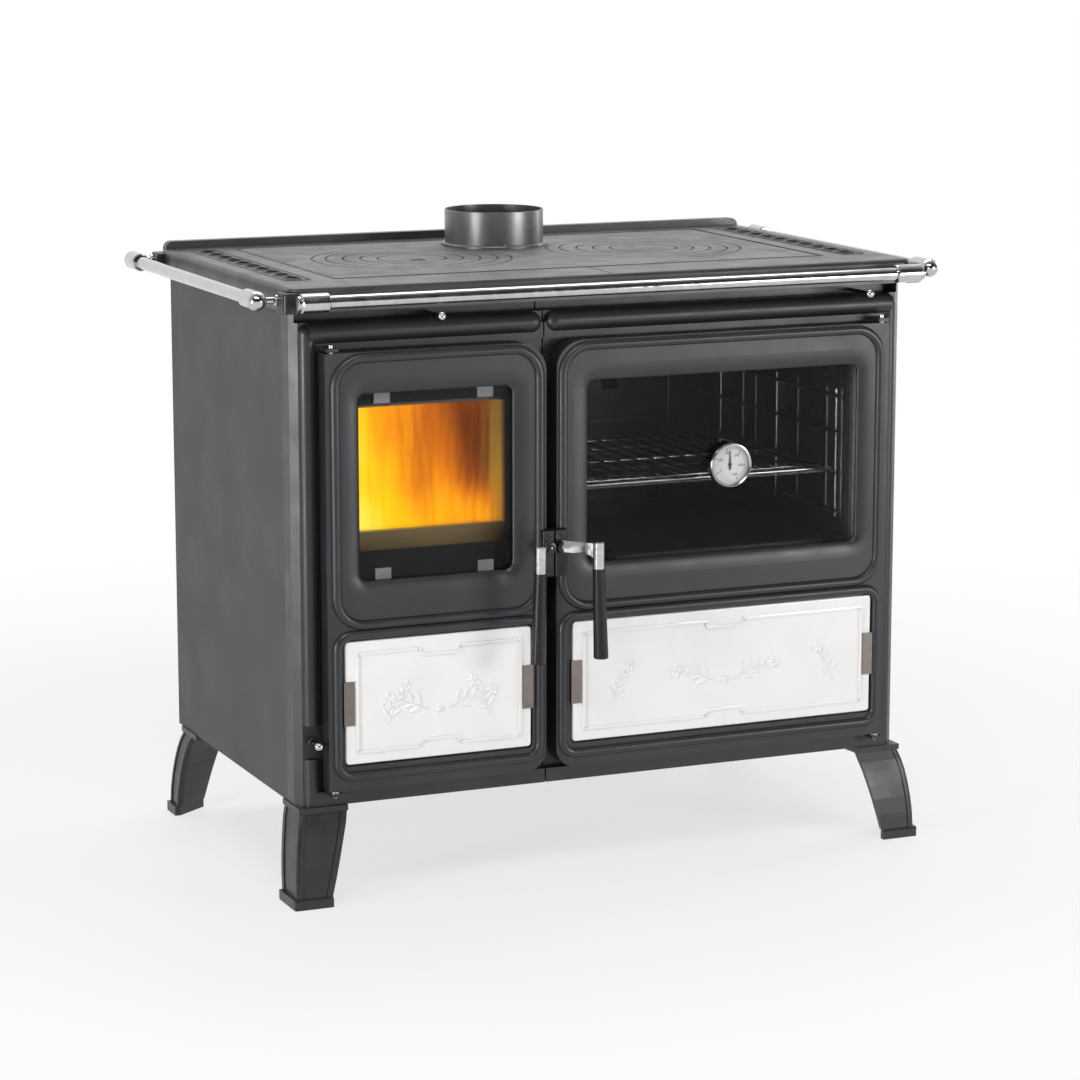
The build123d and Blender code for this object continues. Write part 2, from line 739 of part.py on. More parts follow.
with BuildPart() as rail_ends:
    for side in (-1, 1):
        sleeve_end = front_rail_half + sleeve_length
        rod_x(side * front_rail_half, side * sleeve_end, front_rail_y, rail_z, sleeve_radius)
        rod_x(side * sleeve_end, side * (sleeve_end + end_cap), front_rail_y, rail_z,
              sleeve_radius - post_flange)
        for post_y, sleeve_y in zip((side_post_front_y, side_post_rear_y), side_sleeve_y):
            rod_y(min(post_y, sleeve_y), max(post_y, sleeve_y), side * side_rail_x, rail_z, sleeve_radius)
            ball(side * side_rail_x, post_y, rail_z, knob_radius)
    sleeve_rims = rail_ends.edges().filter_by(GeomType.CIRCLE)
    chamfer(sleeve_rims.filter_by(lambda edge: abs(edge.radius - sleeve_radius) < running), 1.5)
save(rail_ends, "rail_ends")

with BuildPart() as rail_brackets:
    for side, bracket_y in bracket_places:
        block(side * bracket_inner_x, side * bracket_outer_x, bracket_y, bracket_y + bracket_depth,
              rail_z - bracket_below, rail_z + bracket_above)
    fillet(rail_brackets.edges().filter_by(Axis.Z), bracket_corner)
    fillet(rail_brackets.edges().group_by(Axis.Z)[-1], bracket_corner / 2)
save(rail_brackets, "rail_brackets")

with BuildPart() as rail_posts:
    for side in (-1, 1):
        rod_y(front_rail_y + sleeve_radius, hob_front_y - bracket_proud,
              side * (bracket_inner_x + post_inset), rail_z, post_radius)
        for post_y in (side_post_front_y, side_post_rear_y):
            rod_x(side * bracket_outer_x, side * (side_rail_x - knob_radius), post_y, rail_z, post_radius)
            rod_x(side * bracket_outer_x, side * (bracket_outer_x + post_flange), post_y, rail_z,
                  post_radius + post_flange)
save(rail_posts, "rail_posts")

# =================================================================== firebox
box_left = window_span(left_door)[0] - firebox_left
box_right = window_span(left_door)[1] + firebox_right
box_y = frame_thickness
box_back = box_y + firebox_depth
with BuildPart() as firebox_shell:
    block(box_left, box_right, box_y, box_back, floor_z, firebox_top_z)
    block(box_left + firebox_wall, box_right - firebox_wall, box_y, box_back - firebox_wall,
          ash_floor_z, firebox_top_z, mode=Mode.SUBTRACT)
    block(box_left + firebox_wall, box_right - firebox_wall, box_y, box_back - firebox_wall,
          floor_z, ash_floor_z - sheet, mode=Mode.SUBTRACT)
save(firebox_shell, "firebox_shell")

# bars that carry the grate and the liners
with BuildPart() as firebox_ledges:
    for side_x, inward in ((box_left + firebox_wall, 1), (box_right - firebox_wall, -1)):
        block(side_x, side_x + inward * (liner + firebox_wall), box_y, box_back - firebox_wall,
              grate_z - firebox_wall, grate_z)
    block(box_left + liner + 2 * firebox_wall, box_right - liner - 2 * firebox_wall,
          box_back - 2 * firebox_wall - liner, box_back - firebox_wall, grate_z - firebox_wall, grate_z)
save(firebox_ledges, "firebox_ledges")

liner_y = (box_y + drawer_play, box_back - firebox_wall)
inner_left = box_left + firebox_wall + liner
inner_right = box_right - firebox_wall - liner
with BuildPart() as firebox_liners:
    for x0, x1 in ((box_left + firebox_wall, inner_left), (inner_right, box_right - firebox_wall)):
        block(x0, x1, liner_y[0], liner_y[1], grate_z, liner_top_z)
    block(inner_left, inner_right, liner_y[1] - liner, liner_y[1], grate_z, liner_top_z)
save(firebox_liners, "firebox_liners")

grate_y = (box_y + fillet_strip, liner_y[1] - liner - grate_play)
grate_x = (inner_left + grate_play, inner_right - grate_play)
with BuildPart() as fire_grate:
    block(grate_x[0], grate_x[1], grate_y[0], grate_y[1], grate_z, grate_z + grate_thickness)
    with BuildSketch(Plane.XY.offset(grate_z)) as grate_slots:
        with Locations((sum(grate_x) / 2, front_y + sum(grate_y) / 2)):
            with GridLocations(*grate_pitch, grate_slot_count, grate_rows):
                SlotOverall(*grate_slot, rotation=90)
    extrude(grate_slots.sketch, amount=grate_thickness, mode=Mode.SUBTRACT)
save(fire_grate, "fire_grate")

with BuildPart() as log_guard:
    guard_back_y = grate_y[0] + guard_thickness
    block(grate_x[0], grate_x[1], grate_y[0], guard_back_y, grate_z + grate_thickness, log_guard_top_z)
    for k in range(guard_slots):
        slot_x = grate_x[0] + (grate_x[1] - grate_x[0]) * (k + 0.5) / guard_slots
        slab(slot_x - guard_slot_width / 2, slot_x + guard_slot_width / 2, grate_z + guard_slot_foot,
             log_guard_top_z - guard_slot_head, guard_slot_corner, guard_back_y, grate_y[0],
             mode=Mode.SUBTRACT)
save(log_guard, "log_guard")

with BuildPart() as baffle_plate:
    block(inner_left - liner + grate_play, inner_right + liner - grate_play, baffle_front_y, liner_y[1],
          liner_top_z, liner_top_z + baffle_thickness)
save(baffle_plate, "baffle_plate")

drawer_x = [window_span(left_door)[0] + mouth_inset + drawer_play,
            window_span(left_door)[1] - mouth_inset - drawer_play]
drawer_top_z = ash_floor_z + drawer_height
drawer_back_y = drawer_front_y + drawer_depth
with BuildPart() as ash_drawer:
    block(drawer_x[0], drawer_x[1], drawer_front_y, drawer_back_y, ash_floor_z, drawer_top_z)
    block(drawer_x[0] + drawer_wall, drawer_x[1] - drawer_wall, drawer_front_y + drawer_wall,
          drawer_back_y - drawer_wall, ash_floor_z + drawer_wall, drawer_top_z, mode=Mode.SUBTRACT)
    # bent lip to pull it by
    drawer_mid = sum(drawer_x) / 2
    lip_x = (drawer_mid - drawer_pull[0] / 2, drawer_mid + drawer_pull[0] / 2)
    lip_y = drawer_front_y - drawer_pull[1]
    lip_z = drawer_top_z - drawer_pull_drop
    block(lip_x[0], lip_x[1], lip_y, drawer_front_y, lip_z - drawer_pull_sheet[0], lip_z)
    block(lip_x[0], lip_x[1], lip_y, lip_y + drawer_pull_sheet[1], lip_z - drawer_pull[2], lip_z)
save(ash_drawer, "ash_drawer")

# ====================================================================== oven
oven_x = (window_span(right_door)[0] - oven_lap, window_span(right_door)[1] + oven_lap)
oven_inside = (oven_x[0] + oven_wall, oven_x[1] - oven_wall)
oven_back = frame_thickness + oven_depth
with BuildPart() as oven_box:
    block(oven_x[0], oven_x[1], frame_thickness, oven_back, oven_bottom_z, oven_top_z)
    block(oven_inside[0], oven_inside[1], frame_thickness, oven_back - oven_wall,
          oven_bottom_z + oven_wall, oven_top_z - oven_wall, mode=Mode.SUBTRACT)
save(oven_box, "oven_box")

guide_y = (guide_inset, oven_depth - guide_inset)
bearing_z = rack_z - wire - rack_wire - rack_play
guide_levels = [bearing_z]
for guide_offset in guide_offsets:
    guide_levels.append(rack_z + guide_offset)
with BuildPart() as rack_guides:
    for wall_x, inward in ((oven_inside[0], 1), (oven_inside[1], -1)):
        post_x = wall_x + inward * wire
        runner_x = post_x + inward * 1.6 * wire
        for y in (guide_y[0], sum(guide_y) / 2, guide_y[1]):
            rod_z(min(guide_levels) - guide_overrun, max(guide_levels) + guide_overrun, post_x, y, wire)
        for level in guide_levels:
            rod_y(guide_y[0] - guide_overrun, guide_y[1] + guide_overrun, runner_x, level, wire)
save(rack_guides, "rack_guides")

rack_edge = 2 * wire + rack_wire + rack_play
rack_x = (oven_inside[0] + rack_edge, oven_inside[1] - rack_edge)
rack_y = (guide_y[0] + rack_inset, guide_y[1] - rack_inset)
with BuildPart() as oven_rack:
    for x in rack_x:
        rod_y(rack_y[0], rack_y[1], x, rack_z, rack_wire)
    for y in (rack_y[0], sum(rack_y) / 2, rack_y[1]):
        rod_x(rack_x[0], rack_x[1], y, rack_z, rack_wire)
    for k in range(rack_wires):
        x = rack_x[0] + (rack_x[1] - rack_x[0]) * (k + 1) / (rack_wires + 1)
        rod_y(rack_y[0], rack_y[1], x, rack_z + rack_thin_wire, rack_thin_wire)
save(oven_rack, "oven_rack")

with BuildPart() as soot_cover:
    cover_z = (ash_floor_z - cover_overlap[0], lower_mouth_top_z + cover_overlap[1])
    block(oven_x[0], oven_x[1], -cover_sheet, 0, cover_z[0], cover_z[1])
    for x in (oven_x[0] + cover_knob_inset, oven_x[1] - cover_knob_inset):
        rod_y(-cover_sheet - cover_knob_reach, -cover_sheet, x, sum(cover_z) / 2, cover_knob_radius)
save(soot_cover, "soot_cover")


# ===================================================================== doors
def bead_lines(door, hinge_side):
    """Left and right centre lines of a door's beads."""
    insets = (bead_hinge, bead_free) if hinge_side < 0 else (bead_free, bead_hinge)
    return door[0] + insets[0], door[1] - insets[1]


def latch_span(side, clearance=0.0):
    """Left and right sides of one half of the latch block."""
    inner = door_gap_x + side * latch_split / 2
    return sorted((inner, door_gap_x + side * (latch_half + clearance)))


def window_roll_cut(span):
    """Cut a quarter ellipse along a window's front edge."""
    with BuildLine(facing(field_y)) as edge:
        x0, x1 = span[0] + roll_overlap, span[1] - roll_overlap
        z0, z1 = window_bottom_z + roll_overlap, window_top_z - roll_overlap
        FilletPolyline((x0, z0), (x1, z0), (x1, z1), (x0, z1), radius=window_corner - roll_overlap,
                       close=True)
    # the line starts on the window's top edge
    outwards = Plane(origin=edge.line @ 0, x_dir=(0, 0, 1), z_dir=edge.line % 0)
    far = roll_overlap + window_roll
    with BuildSketch(outwards) as section:
        with BuildLine():
            Polyline((far, 0), (far, -roll_overlap), (0, -roll_overlap), (0, window_roll_depth),
                     (roll_overlap, window_roll_depth))
            EllipticalCenterArc((far, window_roll_depth), window_roll, window_roll_depth,
                                start_angle=180, arc_size=90)
        make_face()
    sweep(section.sketch, path=edge.line, mode=Mode.SUBTRACT)


def door_casting(door, side):
    """A cast door: bead mouldings, window with a rolled edge, tile recess, rope channel."""
    free, hinge = (door[0], door[1]) if side > 0 else (door[1], door[0])
    with BuildPart() as casting:
        with BuildSketch(facing(door_back_y)) as outline:
            with Locations((sum(door) / 2, (door_bottom_z + door_top_z) / 2)):
                Rectangle(door[1] - door[0], door_top_z - door_bottom_z)
            free_corners = outline.vertices().group_by(Axis.X)[0 if side > 0 else -1].sort_by(Axis.Y)
            fillet(free_corners[0], tile_bead_corner + bead_free)
            free_corners = outline.vertices().group_by(Axis.X)[0 if side > 0 else -1].sort_by(Axis.Y)
            fillet(free_corners[-1], window_bead_corner)
        extrude(outline.sketch, amount=door_back_y - field_y)
        # hollow back, deeper behind the window than behind the tile
        inside_x = sorted((free + side * rim, hinge - side * hinge_rim))
        slab(inside_x[0], inside_x[1], split_z, door_top_z - rim, window_bead_corner / 2,
             door_back_y, field_y + door_plate, mode=Mode.SUBTRACT)
        slab(inside_x[0], inside_x[1], door_bottom_z + rim, split_z + window_bead_corner,
             tile_bead_corner, door_back_y, tile_floor_y + rim, mode=Mode.SUBTRACT)
        # channel for the rope seal
        seal = window_span(door)
        slab(seal[0] - seal_side - seal_width, seal[1] + seal_side + seal_width,
             window_bottom_z - seal_end - seal_width, window_top_z + seal_end + seal_width,
             window_corner + seal_width, channel_back_y, glass_front_y)
        slab(seal[0] - seal_side, seal[1] + seal_side, window_bottom_z - seal_end,
             window_top_z + seal_end, window_corner, channel_back_y, glass_front_y, mode=Mode.SUBTRACT)
        slab(seal[0] - seal_side - rope_width - rope_lip / 2, seal[1] + seal_side + rope_width + rope_lip / 2,
             window_bottom_z - seal_end - rope_width - rope_lip / 2,
             window_top_z + seal_end + rope_width + rope_lip / 2,
             window_corner + rope_width, channel_back_y, channel_floor_y, mode=Mode.SUBTRACT)
        # window, with the casting rolling in towards its edge
        slab(seal[0], seal[1], window_bottom_z, window_top_z, window_corner, glass_front_y, field_y,
             mode=Mode.SUBTRACT)
        window_roll_cut(seal)
        # recess for the tile
        slab(door[0] + tile_margin - tile_gap, door[1] - tile_margin + tile_gap, tile_bottom_z - tile_gap,
             tile_top_z + tile_gap, tile_corner + tile_gap, tile_floor_y, field_y, mode=Mode.SUBTRACT)
        # beads round the window and the tile
        bead_x = bead_lines(door, side)
        bead_y = crest_y + bead_radius
        bead(bead_x[0], bead_x[1], split_z + bead_radius + 1, door_top_z - bead_top, window_bead_corner,
             bead_y, bead_radius)
        bead(bead_x[0], bead_x[1], door_bottom_z + bead_bottom, split_z - bead_radius + 2, tile_bead_corner,
             bead_y, bead_radius)
        # notch in the free edge for the latch block and its cam
        notch = latch_span(side, notch_clear)
        block(notch[0], notch[1], crest_y - 1, door_back_y, latch_bottom_z - notch_clear,
              latch_top_z + notch_clear, mode=Mode.SUBTRACT)
        block(free, free + side * 3 * rim, latch_back_y, door_back_y, latch_bottom_z - notch_clear,
              latch_top_z + notch_clear, mode=Mode.SUBTRACT)
        # bores for the hinge pins
        for z in (door_bottom_z, door_top_z - pin_engage):
            rod_z(z, z + pin_engage, side * hinge_x, hinge_y, pin_radius + running, mode=Mode.SUBTRACT)
    return casting


def door_glass(door, bore=None):
    """The window's ceramic glass, with a bore for the thermometer's stem."""
    span = window_span(door)
    with BuildPart() as glass:
        slab(span[0] - glass_lap, span[1] + glass_lap, window_bottom_z - glass_lap,
             window_top_z + glass_lap, glass_thickness, glass_back_y, glass_front_y)
        if bore:
            rod_y(glass_front_y, glass_back_y, bore[0], bore[1], stem_radius, mode=Mode.SUBTRACT)
    return glass


def glass_clips(door):
    """Four sheet clips that hold the glass against the door."""
    span = window_span(door)
    half = glass_clip_width / 2
    with BuildPart() as clips:
        for x in (span[0] + glass_clip_inset, span[1] - glass_clip_inset):
            for edge_z, outward in ((window_bottom_z, -1), (window_top_z, 1)):
                tip = edge_z - outward * glass_clip_reach
                heel = edge_z + outward * (glass_lap + glass_clip_play)
                foot = heel + outward * glass_clip_foot
                low, high = sorted((tip, foot))
                block(x - half, x + half, glass_back_y, glass_back_y + clip_sheet, low, high)
                low, high = sorted((heel, foot))
                block(x - half, x + half, glass_front_y, glass_back_y, low, high)
    return clips


def door_tile(door):
    """The glazed tile."""
    x0, x1 = door[0] + tile_margin, door[1] - tile_margin
    tile_front_y = tile_floor_y - tile_thickness
    with BuildPart() as tile:
        slab(x0, x1, tile_bottom_z, tile_top_z, tile_corner, tile_floor_y, tile_front_y)
        fillet(tile.faces().sort_by(Axis.Y)[0].edges(), tile_edge_round)
    return tile


def tile_clips(door):
    """Two bent clips that hold the tile at its ends."""
    tile_front_y = tile_floor_y - tile_thickness
    clip_front_y = tile_front_y - clip_sheet
    mid_z = tile_bottom_z + tile_height / 2
    low, high = mid_z - tile_clip_height / 2, mid_z + tile_clip_height / 2
    with BuildPart() as clips:
        for edge, inward in ((door[0] + tile_margin, 1), (door[1] - tile_margin, -1)):
            heel = edge - inward * (tile_gap - ring_gap)
            leg_x = edge - inward * ring_gap
            block(heel, leg_x, clip_front_y, tile_floor_y, low, high)
            tip = edge + inward * tile_clip_reach
            block(heel, tip, clip_front_y, tile_front_y, low, high)
    return clips


def rope_seal(door):
    """The rope seal in its channel behind the door."""
    seal = window_span(door)
    with BuildPart() as rope:
        grow = seal_side + rope_width
        slab(seal[0] - grow, seal[1] + grow, window_bottom_z - seal_end - rope_width,
             window_top_z + seal_end + rope_width, window_corner + rope_width, rope_back_y,
             channel_floor_y)
        shrink = seal_side + rope_lip / 2
        slab(seal[0] - shrink, seal[1] + shrink, window_bottom_z - seal_end - rope_lip / 2,
             window_top_z + seal_end + rope_lip / 2, window_corner, rope_back_y, channel_floor_y,
             mode=Mode.SUBTRACT)
    return rope


def latch_block(side):
    """One half of the black latch block, bored for the handle's spindle."""
    span = latch_span(side)
    with BuildPart() as latch:
        block(span[0], span[1], latch_front_y, latch_back_y, latch_bottom_z, latch_top_z)
        fillet(latch.faces().sort_by(Axis.Y)[0].edges(), latch_edge_round)
        spindle_x = door_gap_x + side * spindle_offset
        rod_y(latch_front_y, latch_back_y, spindle_x, spindle_z, spindle_radius + running, mode=Mode.SUBTRACT)
    return latch


for door, side, name in ((left_door, -1, "firebox"), (right_door, 1, "oven")):
    bore = None if side < 0 else (thermometer_x, thermometer_z)
    save(door_casting(door, side), name + "_door_casting")
    save(door_glass(door, bore), name + "_door_glass")
    save(glass_clips(door), name + "_glass_clips")
    save(door_tile(door), name + "_door_tile")
    save(tile_clips(door), name + "_tile_clips")
    save(rope_seal(door), name + "_door_seal")
    save(latch_block(side), name + "_latch_block")

# hinge pins: four, with a head above the upper lugs and a collar under the doors
with BuildPart() as hinge_pins:
    for side in (-1, 1):
        x = side * hinge_x
        rod_z(door_top_z - pin_engage + 1, top_lug_z + lug_thickness + pin_proud, x, hinge_y, pin_radius)
        rod_z(low_lug_z - lug_gap, door_bottom_z + pin_engage - 1, x, hinge_y, pin_radius)
        rod_z(low_lug_z + lug_thickness, door_bottom_z - pin_play, x, hinge_y, pin_radius + pin_collar)
save(hinge_pins, "hinge_pins")


# =================================================================== handles
def handle_arm(side):
    """Spindle, cam, cranked arm and ferrule of a door handle."""
    spindle_x = door_gap_x + side * spindle_offset
    grip_x = door_gap_x + side * handle_offset
    ferrule_top_z = ferrule_bottom_z + ferrule_height
    hub_front_y = latch_front_y - arm_thickness
    reach = hypot(grip_x - spindle_x, grip_y - hub_front_y)
    direction = Vector(grip_x - spindle_x, grip_y - hub_front_y, 0).normalized()
    with BuildPart() as arm:
        rod_y(hub_front_y, latch_front_y, spindle_x, spindle_z, 2 * spindle_radius)
        cam_y = latch_back_y + 1
        rod_y(latch_front_y, cam_y + cam_thickness, spindle_x, spindle_z, spindle_radius)
        block(spindle_x - cam_half_width, spindle_x + cam_half_width, cam_y, cam_y + cam_thickness,
              spindle_z - cam_reach, spindle_z + cam_heel)
        # the arm's upright profile, along the line from spindle to grip
        profile_plane = Plane(origin=(spindle_x, front_y + hub_front_y + 1, spindle_z),
                              x_dir=direction, z_dir=direction.cross(Vector(0, 0, 1)))
        with BuildSketch(profile_plane) as profile:
            top = ferrule_top_z - 3 - spindle_z
            with BuildLine():
                Polyline((reach, -arm_tip_depth), (reach, top), (-1, top), (-1, -arm_hub_depth),
                         (reach * arm_straight, -arm_hub_depth))
                RadiusArc((reach * arm_straight, -arm_hub_depth), (reach, -arm_tip_depth), arm_curve)
            make_face()
        extrude(profile.sketch, amount=arm_thickness / 2, both=True)
        rod_z(ferrule_bottom_z, ferrule_top_z, grip_x, grip_y, ferrule_radius)
        chamfer(arm.edges().filter_by(GeomType.CIRCLE).group_by(Axis.Z)[-1], 1.5)
    return arm


def handle_grip(side):
    """The grip: a round bar that thickens and leans a little towards its foot."""
    grip_x = door_gap_x + side * handle_offset
    with BuildPart() as grip:
        foot_z = ferrule_bottom_z - grip_length
        with BuildSketch(Plane.XY.offset(foot_z)) as foot:
            with Locations((grip_x + side * grip_lean, front_y + grip_y)):
                Circle(grip_foot_radius)
        with BuildSketch(Plane.XY.offset(ferrule_bottom_z)) as top:
            with Locations((grip_x, front_y + grip_y)):
                Circle(grip_top_radius)
        loft([foot.sketch, top.sketch])
        fillet(grip.faces().sort_by(Axis.Z)[0].edges(), grip_edge_round)
    return grip


for side, name in ((-1, "firebox"), (1, "oven")):
    save(handle_arm(side), name + "_handle_arm")
    save(handle_grip(side), name + "_handle_grip")

# =============================================================== thermometer
case_front_y = glass_front_y - thermometer_depth
dial_y = case_front_y + dial_setback
dial_front_y = dial_y - dial_thickness
needle_y = dial_front_y - needle_lift
with BuildPart() as thermometer_case:
    rod_y(case_front_y, glass_front_y, thermometer_x, thermometer_z, thermometer_radius)
    fillet(thermometer_case.faces().sort_by(Axis.Y)[0].edges(), thermometer_rim / 2)
    rod_y(case_front_y, dial_y, thermometer_x, thermometer_z, thermometer_radius - thermometer_rim,
          mode=Mode.SUBTRACT)
    rod_y(glass_front_y, glass_back_y + stem_length, thermometer_x, thermometer_z, stem_radius)
save(thermometer_case, "thermometer_case")

with BuildPart() as thermometer_dial:
    rod_y(dial_front_y, dial_y, thermometer_x, thermometer_z, thermometer_radius - thermometer_rim)
    rod_y(dial_front_y, dial_y, thermometer_x, thermometer_z, needle_pivot_radius + running,
          mode=Mode.SUBTRACT)
save(thermometer_dial, "thermometer_dial")

with BuildPart() as thermometer_needle:
    rod_y(needle_y - needle_thickness, dial_y, thermometer_x, thermometer_z, needle_pivot_radius)
    rod_y(needle_y - needle_thickness, needle_y, thermometer_x, thermometer_z, needle_hub_radius)
    with BuildSketch(facing(needle_y)) as pointer:
        tail_z = thermometer_z - needle_tail
        tip_z = thermometer_z + needle_length
        with BuildLine():
            Polyline((thermometer_x - needle_half_width, tail_z), (thermometer_x + needle_half_width, tail_z),
                     (thermometer_x + needle_tip_half_width, tip_z),
                     (thermometer_x - needle_tip_half_width, tip_z), close=True)
        make_face()
    extrude(pointer.sketch, amount=needle_thickness)
save(thermometer_needle, "thermometer_needle")


# ===================================================================== pulls
def pull(x, z, ball_y, tail_y, blade):
    """A pull rod with a ball at the front and a shutter blade at the back."""
    with BuildPart() as pull_rod:
        ball(x, ball_y, z, pull_ball)
        rod_y(ball_y, tail_y, x, z, pull_radius)
        block(x - blade / 2, x + blade / 2, tail_y, tail_y + blade_length, z - blade_thickness / 2,
              z + blade_thickness / 2)
    return pull_rod


air_tail_y = fascia_y + fascia_thickness + pull_travel + blade_thickness
save(pull(-column_x, primary_pull_z, -column_radius - primary_ball_proud, primary_tail_y, primary_blade),
     "primary_air_pull")
save(pull(air_pull_x, pull_z, pull_front_y, air_tail_y, blade_width), "secondary_air_pull")
save(pull(damper_pull_x, pull_z, pull_front_y, damper_tail_y, blade_width), "flue_damper_pull")

with BuildPart() as air_escutcheon:
    plate_y = recess_y - escutcheon_thickness
    block(-column_x - recess_half_width, -column_x + recess_half_width, plate_y, recess_y,
          primary_pull_z - recess_half_height, primary_pull_z + recess_half_height)
    rod_y(plate_y, recess_y, -column_x, primary_pull_z, pull_radius + running, mode=Mode.SUBTRACT)
save(air_escutcheon, "air_escutcheon")
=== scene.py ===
"""Looks of the wood cookstove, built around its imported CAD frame.

Sizes are in millimetres while a piece is drafted, with depths measured from the
face of the cast front frame (positive to the back).  Draft.finish turns them
into metres in the frame's own axes.
"""
from __future__ import annotations

import json
import logging
import math
import random
from dataclasses import dataclass, field
from enum import Enum
from typing import Iterable, Sequence

import bmesh
import bpy
from mathutils import Matrix, Vector, noise


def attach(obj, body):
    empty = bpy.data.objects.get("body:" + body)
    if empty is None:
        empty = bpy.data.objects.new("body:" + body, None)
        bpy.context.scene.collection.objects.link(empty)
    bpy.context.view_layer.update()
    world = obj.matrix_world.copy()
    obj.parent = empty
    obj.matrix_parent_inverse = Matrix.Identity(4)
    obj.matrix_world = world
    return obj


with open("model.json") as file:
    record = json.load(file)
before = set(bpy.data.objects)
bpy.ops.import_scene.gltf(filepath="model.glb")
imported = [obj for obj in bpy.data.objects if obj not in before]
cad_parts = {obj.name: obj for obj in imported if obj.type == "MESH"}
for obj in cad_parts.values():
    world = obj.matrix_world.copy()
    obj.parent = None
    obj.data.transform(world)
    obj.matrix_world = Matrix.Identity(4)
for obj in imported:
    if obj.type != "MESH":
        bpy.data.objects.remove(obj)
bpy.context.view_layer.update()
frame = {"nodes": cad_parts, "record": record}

LOG = logging.getLogger("cookstove")
MM = 0.001
FACE_Y = -236.25            # face of the front frame, in the frame's own axes
TO_METRES = Matrix.Scale(MM, 4) @ Matrix.Translation((0.0, FACE_Y, 0.0))
TO_FRONT = Matrix.Rotation(math.radians(90.0), 4, "X")      # a shape's +Z turned to the viewer
TO_BACK = Matrix.Rotation(math.radians(-90.0), 4, "X")
MERGE = 0.0005              # vertices nearer than this are one
NEAR_TOP = 0.99             # share of a height above which a vertex counts as its top
WAVE_METRES = 0.314         # distance between the waves of a wave texture of scale 1
WHITE = (1.0, 1.0, 1.0, 1.0)

Point = tuple[float, float, float]
Flat = tuple[float, float]
Colour = tuple[float, float, float]
Stop = tuple[float, Colour]
Socket = bpy.types.NodeSocket
Shape = bmesh.types.BMesh


class Body(Enum):
    """The rigid bodies that the new pieces ride on."""

    ROOT = "root"
    FIREBOX_DOOR = "firebox_door"
    OVEN_DOOR = "oven_door"
    FIREBOX_HANDLE = "firebox_handle"
    OVEN_HANDLE = "oven_handle"


class Side(Enum):
    """Left or right half, as the sign of x."""

    LEFT = -1
    RIGHT = 1


# ----- Materials -----
def feed(node: bpy.types.Node, inputs: dict[str | int, Socket | float | tuple]) -> None:
    """Links or sets inputs of a shader node.

    Args:
        node: a node of a material or of the world.
        inputs: for each input the output to link to it, or its value.
    """
    for key, value in inputs.items():
        if isinstance(value, bpy.types.NodeSocket):
            node.id_data.links.new(value, node.inputs[key])
        else:
            node.inputs[key].default_value = value


def add_node(tree: bpy.types.NodeTree, kind: str, output: str | int,
             inputs: dict[str | int, Socket | float | tuple], **options: str) -> Socket:
    """Adds a shader node.

    Args:
        tree: the nodes of a material or of the world.
        kind: the node's type.
        output: the output that is wanted, by name or number.
        inputs: for each input the output to link to it, or its value.
        options: the node's own settings.

    Returns:
        The wanted output.
    """
    node = tree.nodes.new(kind)
    for name, choice in options.items():
        setattr(node, name, choice)
    feed(node, inputs)
    return node.outputs[output]


def maths(operation: str, first: Socket, second: Socket | float) -> Socket:
    """One arithmetic step on two values, in the tree of the first one."""
    return add_node(first.id_data, "ShaderNodeMath", "Value", {0: first, 1: second}, operation=operation)


def swing(factor: Socket, middle: float, gain: float) -> Socket:
    """How far a factor is from its middle value, times a gain."""
    return maths("MULTIPLY", maths("SUBTRACT", factor, middle), gain)


